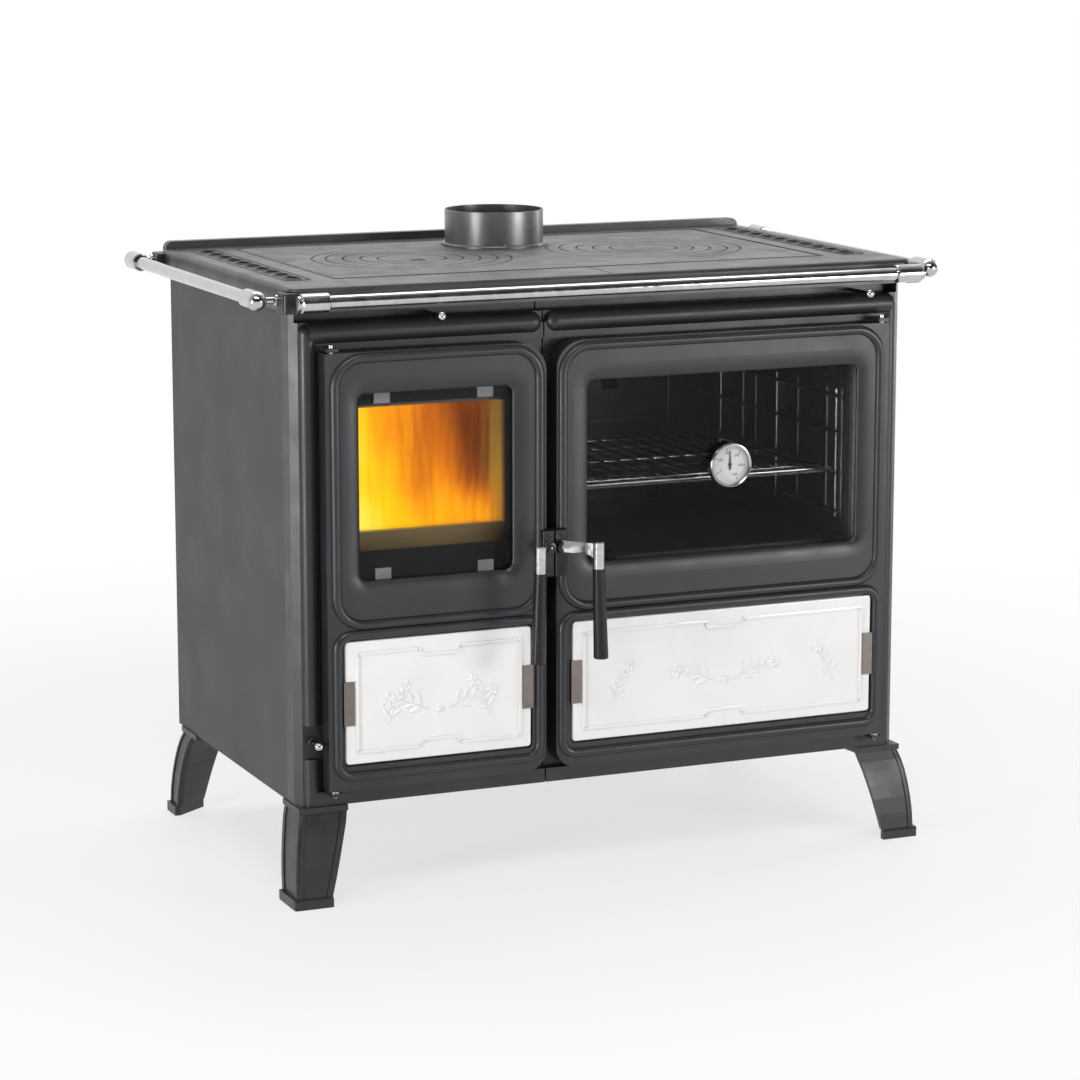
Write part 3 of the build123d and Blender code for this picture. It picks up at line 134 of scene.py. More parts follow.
class Surface:
    """A node material that is being put together."""

    def __init__(self, name: str) -> None:
        """Starts a material with its shader and its object coordinates.

        Args:
            name: the material's name.
        """
        self.material = bpy.data.materials.new(name)
        self.material.use_nodes = True
        self.tree = self.material.node_tree
        self.shader = self.tree.nodes["Principled BSDF"]
        self.coords = self.tree.nodes.new("ShaderNodeTexCoord").outputs["Object"]

    def set(self, **inputs: Socket | float | tuple) -> None:
        """Links or sets inputs of the shader; an underscore stands for a space."""
        feed(self.shader, {key.replace("_", " "): value for key, value in inputs.items()})

    def mapped(self, location: Point = (0.0, 0.0, 0.0), scale: Point = (1.0, 1.0, 1.0),
               rotation: Point = (0.0, 0.0, 0.0)) -> Socket:
        """Object coordinates moved, turned and stretched.

        Args:
            location: added after turning and scaling, in metres.
            scale: one factor for each axis.
            rotation: angles in radians.

        Returns:
            The vector output.
        """
        return add_node(self.tree, "ShaderNodeMapping", "Vector", {
            "Location": location, "Rotation": rotation, "Scale": scale, "Vector": self.coords})

    def noise(self, scale: float, detail: float = 3.0, vector: Socket | None = None,
              distortion: float = 0.0) -> Socket:
        """Fractal noise.

        Args:
            scale: features to a metre.
            detail: octaves.
            vector: coordinates, or None for the object's own.
            distortion: how far the pattern swirls.

        Returns:
            The factor output.
        """
        return add_node(self.tree, "ShaderNodeTexNoise", "Fac", {
            "Scale": scale, "Detail": detail, "Distortion": distortion,
            "Vector": vector or self.coords})

    def cells(self, scale: float, vector: Socket | None = None) -> Socket:
        """Distance to the nearest cell centre of a Voronoi pattern."""
        return add_node(self.tree, "ShaderNodeTexVoronoi", "Distance", {
            "Scale": scale, "Vector": vector or self.coords})

    def waves(self, pitch: float, distortion: float, vector: Socket, **options: str) -> Socket:
        """A pattern of regular waves.

        Args:
            pitch: distance between waves, in metres.
            distortion: how uneven they are.
            vector: coordinates.
            options: the wave node's own settings.

        Returns:
            The factor output.
        """
        return add_node(self.tree, "ShaderNodeTexWave", "Fac", {
            "Scale": WAVE_METRES / pitch, "Distortion": distortion, "Vector": vector}, **options)

    def height(self, axis: str, low: float, high: float) -> Socket:
        """One coordinate, mapped to 0 at low and 1 at high, both in metres."""
        split = add_node(self.tree, "ShaderNodeSeparateXYZ", axis, {"Vector": self.coords})
        return add_node(self.tree, "ShaderNodeMapRange", "Result", {
            "From Min": low, "From Max": high, "Value": split})

    def ramp(self, factor: Socket, *stops: Stop) -> Socket:
        """A colour ramp.

        Args:
            factor: what runs along it.
            stops: positions and their colours.

        Returns:
            The colour output.
        """
        output = add_node(self.tree, "ShaderNodeValToRGB", "Color", {"Fac": factor})
        elements = output.node.color_ramp.elements
        while len(elements) < len(stops):
            elements.new(0.5)
        for element, (position, colour) in zip(elements, stops):
            element.position = position
            element.color = (*colour, 1.0)
        return output

    def mottled(self, factor: Socket, colour: Colour, shade: float, full: float = 0.7) -> Socket:
        """A colour that is darker by a shade where the factor is low."""
        return self.ramp(factor, (0.3, tuple(shade * part for part in colour)), (full, colour))

    def grey(self, factor: Socket, *stops: Flat) -> Socket:
        """A ramp of grey values, each given as (position, value)."""
        return self.ramp(factor, *((position, (value,) * 3) for position, value in stops))

    def blend(self, factor: Socket, first: Socket, second: Socket, mode: str = "MIX") -> Socket:
        """Two colours blended by a factor."""
        return add_node(self.tree, "ShaderNodeMix", 2, {0: factor, 6: first, 7: second},
                        data_type="RGBA", blend_type=mode)

    def bump(self, *layers: tuple[Socket, float]) -> None:
        """Stacks bump layers.

        Args:
            layers: heights, each with its depth in metres.
        """
        below: dict[str, Socket] = {}
        for height, depth in layers:
            below["Normal"] = add_node(self.tree, "ShaderNodeBump", "Normal", {
                "Strength": 1.0, "Distance": depth, "Height": height, **below})
        self.set(**below)


@dataclass(frozen=True)
class Finish:
    """What all finishes have: a name, and a way to build their material."""

    name: str

    def lay(self, surface: Surface) -> None:
        """Lays the finish on a surface; each kind of finish has its own way."""
        raise NotImplementedError

    def build(self) -> bpy.types.Material:
        """Builds the material.

        Returns:
            The new material.
        """
        surface = Surface(self.name)
        self.lay(surface)
        return surface.material


@dataclass(frozen=True)
class CastPaint(Finish):
    """Stove paint on cast iron: fine sand-cast grain under a satin coat."""

    dark: Colour
    light: Colour
    roughness: float = 0.42
    grain_scale: float = 620.0
    grain_depth: float = 0.00011
    wave_depth: float = 0.00018

    def lay(self, surface: Surface) -> None:
        """Lays cloudy paint over waves and sand grain.

        Args:
            surface: what it is laid on.
        """
        cloud = surface.noise(7.0, 4.0, distortion=0.6)
        worn = surface.noise(23.0, 5.0)
        surface.set(Base_Color=surface.ramp(cloud, (0.3, self.dark), (0.72, self.light)),
                    Roughness=surface.grey(worn, (0.3, self.roughness - 0.05),
                                           (0.7, self.roughness + 0.07)), Specular_IOR_Level=0.5)
        surface.bump((surface.noise(38.0, 1.0), self.wave_depth),
                     (surface.noise(self.grain_scale, 3.0), self.grain_depth))


@dataclass(frozen=True)
class SheetPaint(Finish):
    """Stove paint on steel sheet: a slight orange peel."""

    dark: Colour
    light: Colour
    roughness: float = 0.38
    wave_depth: float = 0.0001
    peel_depth: float = 0.00002

    def lay(self, surface: Surface) -> None:
        """Lays even paint over long waves and orange peel.

        Args:
            surface: what it is laid on.
        """
        cloud = surface.noise(1.6, 2.0, distortion=0.3)
        worn = surface.noise(11.0, 4.0)
        surface.set(Base_Color=surface.ramp(cloud, (0.3, self.dark), (0.7, self.light)),
                    Roughness=surface.grey(worn, (0.3, self.roughness - 0.03),
                                           (0.7, self.roughness + 0.05)))
        surface.bump((surface.noise(2.5, 1.0), self.wave_depth),
                     (surface.noise(420.0, 2.0), self.peel_depth))


@dataclass(frozen=True)
class BlastedIron(Finish):
    """Bare cooking iron: blasted grey with turned rings round the hotplates."""

    dark: Colour = (0.1, 0.093, 0.09)
    light: Colour = (0.245, 0.23, 0.224)
    hot_x: float = 0.185
    hot_y: float = 0.04075
    ring_pitch: float = 0.0011
    ring_depth: float = 0.000018
    speckle_depth: float = 0.00006

    def lay(self, surface: Surface) -> None:
        """Lays stained iron with streaks, specks and turned rings.

        Args:
            surface: what it is laid on.
        """
        speckle = surface.noise(900.0, 4.0)
        stain = surface.noise(9.0, 5.0, distortion=1.2)
        base = surface.ramp(stain, (0.25, self.dark), (0.75, self.light))
        fleck = surface.grey(speckle, (0.38, 0.72), (0.6, 1.0))
        grain = surface.noise(60.0, 4.0, surface.mapped(scale=(0.18, 1.0, 1.0)), 0.8)
        streak = surface.grey(grain, (0.35, 0.74), (0.65, 1.0))
        colour = surface.blend(stain, base, fleck, "MULTIPLY")
        surface.set(Base_Color=surface.blend(surface.noise(2.0), colour, streak, "MULTIPLY"), Metallic=0.55,
                    Roughness=surface.grey(surface.noise(30.0, 4.0), (0.3, 0.44), (0.7, 0.6)))
        rings = [surface.waves(self.ring_pitch, 0.4, surface.mapped(location=(x, -self.hot_y, 0.0)),
                               wave_type="RINGS", rings_direction="Z") for x in (self.hot_x, -self.hot_x)]
        surface.bump(*((ring, self.ring_depth) for ring in rings), (speckle, self.speckle_depth))


@dataclass(frozen=True)
class Metal(Finish):
    """Plated or bare metal, with faint handling marks and an optional brushed grain."""

    colour: Colour
    roughness: float
    spread: float = 0.04
    brushed: Point = (1.0, 1.0, 1.0)
    brush_depth: float = 0.0
    metallic: float = 1.0

    def lay(self, surface: Surface) -> None:
        """Lays metal with smears, and with a grain where it is brushed.

        Args:
            surface: what it is laid on.
        """
        smear = surface.noise(38.0, 5.0, distortion=1.5)
        surface.set(Base_Color=surface.mottled(smear, self.colour, 0.86, 0.6), Metallic=self.metallic,
                    Roughness=surface.grey(smear, (0.35, self.roughness - self.spread),
                                           (0.7, self.roughness + self.spread)))
        if self.brush_depth > 0.0:
            grain = surface.noise(500.0, 3.0, surface.mapped(scale=self.brushed))
            surface.bump((grain, self.brush_depth))


@dataclass(frozen=True)
class Glaze(Finish):
    """White pottery glaze over a pressed tile."""

    colour: Colour = (0.78, 0.775, 0.76)

    def lay(self, surface: Surface) -> None:
        """Lays a glossy glaze that pools a little.

        Args:
            surface: what it is laid on.
        """
        cloud = surface.noise(17.0, 4.0, distortion=0.5)
        surface.set(Base_Color=surface.mottled(cloud, self.colour, 0.955),
                    Roughness=surface.grey(surface.noise(60.0), (0.3, 0.12), (0.7, 0.2)),
                    Coat_Weight=0.6, Coat_Roughness=0.05)
        surface.bump((surface.noise(26.0, 2.0), 0.0007), (surface.noise(180.0, 2.0), 0.00006))


@dataclass(frozen=True)
class ClearGlass(Finish):
    """Ceramic window glass with an anti-glare face."""

    colour: Colour = (0.9, 0.91, 0.91)

    def lay(self, surface: Surface) -> None:
        """Lays clear glass that also lets lamplight through.

        Args:
            surface: what it is laid on.
        """
        surface.set(Base_Color=surface.mottled(surface.noise(5.0), self.colour, 0.96),
                    Transmission_Weight=1.0, IOR=1.3, Roughness=0.0, Alpha=0.3)


@dataclass(frozen=True)
class GripFinish(Finish):
    """Dark stained grips with a fine lengthways grain."""

    dark: Colour = (0.004, 0.003, 0.003)
    light: Colour = (0.016, 0.011, 0.009)

    def lay(self, surface: Surface) -> None:
        """Lays a stained grain under a thin coat.

        Args:
            surface: what it is laid on.
        """
        grain = surface.noise(260.0, 5.0, surface.mapped(scale=(1.0, 1.0, 0.06)), 0.8)
        surface.set(Base_Color=surface.ramp(grain, (0.35, self.dark), (0.7, self.light)),
                    Roughness=surface.grey(grain, (0.3, 0.24), (0.7, 0.36)),
                    Coat_Weight=0.1, Coat_Roughness=0.2, Specular_IOR_Level=0.3)
        surface.bump((grain, 0.00008))


@dataclass(frozen=True)
class RopeFibre(Finish):
    """Knitted glass-fibre rope."""

    def lay(self, surface: Surface) -> None:
        """Lays knitted loops over slanting strands.

        Args:
            surface: what it is laid on.
        """
        knit = surface.cells(420.0)
        strands = surface.waves(0.0016, 2.0, surface.coords, wave_type="BANDS", bands_direction="DIAGONAL")
        surface.set(Base_Color=surface.ramp(knit, (0.1, (0.5, 0.49, 0.46)), (0.6, (0.24, 0.235, 0.22))),
                    Roughness=0.9)
        surface.bump((strands, 0.0004), (knit, 0.0005))


@dataclass(frozen=True)
class Firebrick(Finish):
    """Fire-stained vermiculite brick with pores and soot."""

    def lay(self, surface: Surface) -> None:
        """Lays sooty brick with dark pores.

        Args:
            surface: what it is laid on.
        """
        pores = surface.noise(300.0, 4.0)
        soot = surface.noise(6.0, 4.0, distortion=1.0)
        brick = surface.ramp(soot, (0.3, (0.1, 0.075, 0.05)), (0.7, (0.42, 0.31, 0.2)))
        specks = surface.grey(pores, (0.4, 0.6), (0.55, 1.0))
        surface.set(Base_Color=surface.blend(surface.noise(20.0), brick, specks, "MULTIPLY"),
                    Roughness=0.88)
        surface.bump((pores, 0.0005))


@dataclass(frozen=True)
class Flame(Finish):
    """Glowing gas: yellow on the left and low down, orange in the middle, brown to the right.

    The part of the sheet that runs along the firebox's right side glows in duller colours: painted
    firelight, standing for the fire's light on that side.
    """

    hot_x: float = -0.318
    cool_x: float = -0.172
    low_z: float = 0.52
    high_z: float = 0.71
    wall_y: float = -0.158
    wall_fade: float = 0.012
    power: float = 1.1

    def lay(self, surface: Surface) -> None:
        """Lays broad and fine tongues of flame, coloured by their heat, and the painted firelight on the
        firebox's right side.

        Args:
            surface: what it is laid on.
        """
        broad = surface.noise(13.0, 2.0, surface.mapped(scale=(1.0, 0.6, 0.34),
                                                        rotation=(0.0, 0.12, 0.0)), 0.7)
        fine = surface.noise(48.0, 4.0, surface.mapped(scale=(1.0, 0.5, 0.15),
                                                       rotation=(0.0, 0.16, 0.0)), 0.9)
        low = surface.height("Z", self.high_z - 0.06, self.low_z)
        heat = maths("MULTIPLY", surface.height("X", self.cool_x, self.hot_x), 0.62)
        for term in (maths("MULTIPLY", maths("MULTIPLY", low, low), 0.26),
                     swing(broad, 0.42, 0.8), swing(fine, 0.47, 0.62)):
            heat = maths("ADD", heat, term)
        flames = surface.ramp(
            heat, (0.0, (0.09, 0.018, 0.002)), (0.2, (0.24, 0.05, 0.004)),
            (0.34, (0.6, 0.14, 0.003)), (0.48, (0.9, 0.28, 0.001)), (0.64, (1.0, 0.48, 0.0)),
            (0.82, (1.0, 0.62, 0.0)), (1.0, (1.0, 0.8, 0.09)))
        # painted firelight on the firebox's right side: dull amber, brighter low down and where the broad
        # tongues are strong
        lit = maths("ADD", surface.height("Z", self.high_z, self.low_z), maths("SUBTRACT", broad, 0.5))
        painted_wall_light = surface.ramp(lit, (0.05, (0.1, 0.04, 0.012)), (0.35, (0.27, 0.15, 0.028)),
                            (0.75, (0.38, 0.2, 0.025)), (1.0, (0.45, 0.18, 0.014)))
        beside = surface.height("Y", self.wall_y, self.wall_y - self.wall_fade)
        surface.set(Emission_Color=surface.blend(beside, flames, painted_wall_light), Emission_Strength=self.power,
                    Base_Color=surface.ramp(heat, (0.1, (0.02, 0.008, 0.003)), (0.9, (0.2, 0.1, 0.015))),
                    Roughness=1.0, Specular_IOR_Level=0.0)


@dataclass(frozen=True)
class Ember(Finish):
    """Charred wood with glowing cracks."""

    glow: float

    def lay(self, surface: Surface) -> None:
        """Lays ash over wood whose cracks glow.

        Args:
            surface: what it is laid on.
        """
        cracks = surface.cells(70.0, surface.mapped(scale=(0.45, 1.0, 1.0)))
        ash = surface.noise(45.0, 5.0)
        surface.set(Base_Color=surface.ramp(ash, (0.35, (0.02, 0.014, 0.01)), (0.75, (0.24, 0.2, 0.17))),
                    Emission_Color=surface.ramp(cracks, (0.22, (1.0, 0.36, 0.03)),
                                                (0.5, (0.35, 0.04, 0.0)), (0.75, (0.0, 0.0, 0.0))),
                    Emission_Strength=self.glow, Roughness=0.95)
        surface.bump((cracks, 0.003), (ash, 0.0015))


@dataclass(frozen=True)
class Printed(Finish):
    """A flat printed or enamelled colour with a little tooth."""

    colour: Colour
    roughness: float = 0.5
    gloss: float = 0.5

    def lay(self, surface: Surface) -> None:
        """Lays an almost even colour.

        Args:
            surface: what it is laid on.
        """
        surface.set(Base_Color=surface.mottled(surface.noise(80.0, 3.0), self.colour, 0.9),
                    Roughness=self.roughness, Specular_IOR_Level=self.gloss)
        surface.bump((surface.noise(900.0, 2.0), 0.00003))


FINISHES = (
    CastPaint("cast_body", (0.0125, 0.0135, 0.0165), (0.0205, 0.022, 0.0262), 0.38),
    SheetPaint("side_sheet", (0.0205, 0.022, 0.0268), (0.023, 0.0246, 0.0298), 0.5),
    CastPaint("dark_casting", (0.005, 0.005, 0.006), (0.011, 0.011, 0.012), 0.36),
    CastPaint("hob_casting", (0.03, 0.029, 0.03), (0.066, 0.064, 0.063), 0.34),
    BlastedIron("cooking_plate"),
    Metal("chrome", (0.56, 0.56, 0.57), 0.15),
    Metal("collar_steel", (0.2, 0.2, 0.205), 0.36, brushed=(1.0, 1.0, 0.02),
          brush_depth=0.00002, metallic=0.85),
    ClearGlass("window_glass"),
    Glaze("tile_glaze"),
    Metal("clip_steel", (0.2, 0.175, 0.156), 0.42, 0.08, brushed=(0.05, 1.0, 1.0),
          brush_depth=0.00002),
    GripFinish("grip"),
    RopeFibre("rope"),
    Firebrick("firebrick"),
    CastPaint("fire_iron", (0.05, 0.03, 0.018), (0.13, 0.08, 0.045), 0.7),
    SheetPaint("inner_sheet", (0.008, 0.008, 0.009), (0.014, 0.014, 0.016), 0.3),
    # painted firelight: the log guard's olive-brown stands for the fire's light on it
    CastPaint("firelit_guard_iron", (0.1, 0.064, 0.02), (0.19, 0.122, 0.04), 0.7),
    Printed("shield_black", (0.004, 0.004, 0.0045), 0.6, 0.1),
    Metal("zinc", (0.62, 0.62, 0.64), 0.3, 0.08),
    Metal("clip_zinc", (0.26, 0.265, 0.27), 0.5, 0.08, metallic=0.0),
    Printed("dial", (0.68, 0.68, 0.66)),
    Printed("needle", (0.02, 0.02, 0.022), 0.35),
    # flames, and along the firebox's right side painted firelight
    Flame("flame"),
    Ember("ember", 2.2),
)

# CAD nodes that don't look like the rest of their slot; the log guard's finish is painted firelight
NODE_FINISHES = {"hob_frame": "hob_casting", "firebox_glass_clips": "clip_zinc",
                 "oven_glass_clips": "shield_black", "log_guard": "firelit_guard_iron"}


@dataclass
class Palette:
    """All finished materials, by name."""

    materials: dict[str, bpy.types.Material] = field(default_factory=dict)

    def build(self) -> None:
        """Builds each finish once."""
        self.materials = {finish.name: finish.build() for finish in FINISHES}

    def dress_frame(self) -> None:
        """Gives every CAD node the material of its slot in the record."""
        for row in frame["record"]["subparts"]:
            node = row["node"]
            data = frame["nodes"][node].data
            data.materials.clear()
            data.materials.append(self.materials[NODE_FINISHES.get(node, row["material_slot"])])


PALETTE = Palette()


# ----- Mesh shapes -----
def clean(mesh: Shape) -> Shape:
    """Merges doubles and turns the faces outwards.

    Args:
        mesh: the mesh, which is changed.

    Returns:
        The same mesh.
    """
    bmesh.ops.remove_doubles(mesh, verts=mesh.verts, dist=MERGE)
    bmesh.ops.recalc_face_normals(mesh, faces=mesh.faces)
    return mesh


def rounded(mesh: Shape, parts: Iterable[bmesh.types.BMEdge | bmesh.types.BMVert], radius: float,
            segments: int, kind: str = "EDGES") -> None:
    """Bevels edges or corners to a round.

    Args:
        mesh: the mesh that holds them.
        parts: the edges, or the vertices of the corners.
        radius: the round's radius.
        segments: faces across the round.
        kind: EDGES or VERTICES.
    """
    bmesh.ops.bevel(mesh, geom=list(parts), offset=radius, offset_type="OFFSET", segments=segments,
                    profile=0.5, affect=kind, clamp_overlap=True, material=-1)


def spun(profile: Sequence[Flat], steps: int) -> Shape:
    """A shape turned on the Z axis.

    Args:
        profile: (radius, height) pairs; a closed shape starts and ends at radius 0.
        steps: faces round the axis.

    Returns:
        The new mesh.
    """
    mesh = bmesh.new()
    verts = [mesh.verts.new((radius, 0.0, height)) for radius, height in profile]
    edges = [mesh.edges.new(pair) for pair in zip(verts, verts[1:])]
    bmesh.ops.spin(mesh, geom=verts + edges, cent=(0, 0, 0), axis=(0, 0, 1), dvec=(0, 0, 0),
                   angle=math.tau, steps=steps, use_merge=True, use_duplicate=False)
    return clean(mesh)


def outline_face(points: Sequence[Flat], corner: float) -> Shape:
    """A flat face in the XY plane with rounded corners.

    Args:
        points: the corners, anticlockwise.
        corner: their radius.

    Returns:
        A mesh with one face.
    """
    mesh = bmesh.new()
    mesh.faces.new([mesh.verts.new((x, y, 0.0)) for x, y in points])
    if corner > 0.0:
        rounded(mesh, mesh.verts, corner, 4, "VERTICES")
    return mesh


def raised(mesh: Shape, height: float) -> list[bmesh.types.BMEdge]:
    """Extrudes all faces of a mesh upwards.

    Args:
        mesh: flat faces at z = 0.
        height: how far they rise.

    Returns:
        The edges round the raised faces.
    """
    made = bmesh.ops.extrude_face_region(mesh, geom=list(mesh.faces))
    top = [item for item in made["geom"] if isinstance(item, bmesh.types.BMVert)]
    bmesh.ops.translate(mesh, vec=(0, 0, height), verts=top)
    clean(mesh)
    return [edge for edge in mesh.edges
            if all(vert.co.z > height * NEAR_TOP for vert in edge.verts)
            and len({round(face.normal.z) for face in edge.link_faces}) > 1]


def plate(points: Sequence[Flat], corner: float, thickness: float, edge: float = 0.0) -> Shape:
    """A plate from z = 0 up to its thickness.

    Args:
        points: the corners, anticlockwise.
        corner: their radius.
        thickness: the plate's thickness.
        edge: the round of its upper rim, or 0 for a sharp one.

    Returns:
        The new mesh.
    """
    mesh = outline_face(points, corner)
    rim = raised(mesh, thickness)
    if edge > 0.0:
        rounded(mesh, rim, edge, 3)
    return mesh


def ridge(points: Sequence[Flat], corner: float, width: float, rise: float) -> Shape:
    """A raised line with rounded edges inside a closed outline.

    Args:
        points: the outline's corners, anticlockwise.
        corner: their radius.
        width: the line's width.
        rise: its height.

    Returns:
        The new mesh.
    """
    mesh = outline_face(points, corner)
    inner = list(mesh.faces)
    bmesh.ops.inset_region(mesh, faces=inner, thickness=width, use_boundary=True, use_even_offset=True)
    bmesh.ops.delete(mesh, geom=inner, context="FACES")
    rounded(mesh, raised(mesh, rise), min(width, rise) * 0.45, 2)
    return mesh


def rectangle(width: float, height: float) -> list[Flat]:
    """The corners of a rectangle round the origin, anticlockwise."""
    x, y = width / 2, height / 2
    return [(-x, -y), (x, -y), (x, y), (-x, y)]


def at(x: float, y: float, z: float, turn: Matrix | None = None) -> Matrix:
    """A place in the stove, with the shape turned first."""
    return Matrix.Translation((x, y, z)) @ (turn or Matrix.Identity(4))


def spin_about(axis: str, angle: float) -> Matrix:
    """A turn about an axis, in degrees."""
    return Matrix.Rotation(math.radians(angle), 4, axis)


def tube(path: Sequence[Point], radius: float, sides: int) -> Shape:
    """A round bar swept along a path.

    Args:
        path: its centre line.
        radius: the bar's radius.
        sides: faces round the bar.

    Returns:
        The new closed mesh.
    """
    points = [Vector(point) for point in path]
    places = []
    for index, point in enumerate(points):
        before = points[max(index - 1, 0)]
        after = points[min(index + 1, len(points) - 1)]
        turn = (after - before).to_track_quat("Z", "Y").to_matrix().to_4x4()
        places.append(Matrix.Translation(point) @ turn)
    mesh = bmesh.new()
    bmesh.ops.create_circle(mesh, cap_ends=True, radius=radius, segments=sides, matrix=places[0])
    ring = list(mesh.edges)
    for last, place in zip(places, places[1:]):
        made = bmesh.ops.extrude_edge_only(mesh, edges=ring)
        moved = [item for item in made["geom"] if isinstance(item, bmesh.types.BMVert)]
        bmesh.ops.transform(mesh, matrix=place @ last.inverted(), verts=moved)
        ring = [item for item in made["geom"] if isinstance(item, bmesh.types.BMEdge)
                and all(vert in moved for vert in item.verts)]
    bmesh.ops.holes_fill(mesh, edges=ring)
    return clean(mesh)


def leaf(length: float, width: float, rise: float, curl: float = 0.0) -> Shape:
    """A domed leaf along +Y with a pointed tip, a sunk vein and a flat underside.

    Args:
        length: from stalk to tip.
        width: across its widest part.
        rise: height of its middle.
        curl: how far the tip bends to the side.

    Returns:
        The new mesh.
    """
    end_gap, vein_depth, vein_reach = 0.02, 0.25, 0.2
    mesh = bmesh.new()
    bmesh.ops.create_grid(mesh, x_segments=6, y_segments=10, size=1.0)
    for vert in mesh.verts:
        along = (vert.co.y + 1.0) / 2
        across = vert.co.x
        half = width / 2 * math.sin(math.pi * along ** 0.75)
        crown = math.sin(math.pi * min(max(along, end_gap), 1.0 - end_gap)) ** 0.6
        vein = vein_depth * max(0.0, 1.0 - abs(across) / vein_reach)
        vert.co = (across * half + curl * along * along, along * length,
                   rise * (1.0 - across * across) * crown * (1.0 - vein))
    bmesh.ops.remove_doubles(mesh, verts=mesh.verts, dist=2 * MERGE)
    bmesh.ops.holes_fill(mesh, edges=[edge for edge in mesh.edges if edge.is_boundary])
    return clean(mesh)


def screw_head(radius: float, rise: float) -> Shape:
    """A low round head with a sunk round recess, standing on z = 0.

    Args:
        radius: the head's radius.
        rise: its height.

    Returns:
        The new mesh.
    """
    mesh = spun(((0.0, -0.2), (radius, -0.2), (radius, rise * 0.55), (radius * 0.8, rise * 0.9),
                 (radius * 0.52, rise), (0.0, rise)), 18)
    crown = [face for face in mesh.faces if face.calc_center_median().z > rise * 0.97]
    bmesh.ops.inset_region(mesh, faces=crown, thickness=radius * 0.06, depth=-rise * 0.5)
    return clean(mesh)


def add_object(name: str, data: bpy.types.ID) -> bpy.types.Object:
    """Puts a new object into the scene.

    Args:
        name: the object's name.
        data: its mesh, curve, lamp or camera.

    Returns:
        The new object.
    """
    holder = bpy.data.objects.new(name, data)
    bpy.context.scene.collection.objects.link(holder)
    return holder


def lettering(words: str, size: float) -> Shape:
    """Printed characters round the origin, a tenth of a millimetre thick.

    Args:
        words: the characters.
        size: their height setting.

    Returns:
        The new mesh.
    """
    curve = bpy.data.curves.new("lettering", "FONT")
    curve.body = words
    curve.size = size
    curve.align_x = "CENTER"
    curve.align_y = "CENTER"
    curve.extrude = 0.06
    curve.resolution_u = 3
    holder = add_object("lettering", curve)
    bpy.context.view_layer.update()
    data = bpy.data.meshes.new_from_object(holder)
    mesh = bmesh.new()
    mesh.from_mesh(data)
    bpy.data.objects.remove(holder)
    bpy.data.curves.remove(curve)
    bpy.data.meshes.remove(data)
    bmesh.ops.translate(mesh, vec=(0, 0, 0.07), verts=mesh.verts)
    return clean(mesh)


@dataclass
class Draft:
    """A piece in the making, in millimetres behind the front frame's face."""

    name: str
    mesh: Shape = field(default_factory=bmesh.new)

    def add(self, part: Shape, *places: Matrix) -> Draft:
        """Adds a shape at each of the places, and frees it.

        Args:
            part: the shape.
            places: where copies of it go.

        Returns:
            The draft itself.
        """
        for place in places:
            shape = part.copy()
            bmesh.ops.transform(shape, matrix=place, verts=shape.verts)
            holder = bpy.data.meshes.new("part")
            shape.to_mesh(holder)
            self.mesh.from_mesh(holder)
            bpy.data.meshes.remove(holder)
            shape.free()
        part.free()
        return self

    def finish(self, body: Body, slot: str, finish: str | None = None, smooth: float = 40.0) -> None:
        """Turns the draft into a piece that rides on its body.

        Args:
            body: what it moves with.
            slot: the record's material slot.
            finish: the material's name, where it isn't the slot's.
            smooth: edges flatter than this many degrees are shaded smooth.
        """
        self.mesh.transform(TO_METRES)
        data = bpy.data.meshes.new(self.name)
        for edge in self.mesh.edges:
            edge.smooth = edge.calc_face_angle(math.pi) < math.radians(smooth)
        for face in self.mesh.faces:
            face.smooth = True
        self.mesh.to_mesh(data)
        self.mesh.free()
        data.materials.append(PALETTE.materials[finish or slot])
        piece = add_object(self.name, data)
        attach(piece, body.value)
        LOG.info("%s: %d faces on %s", self.name, len(data.polygons), body.value)


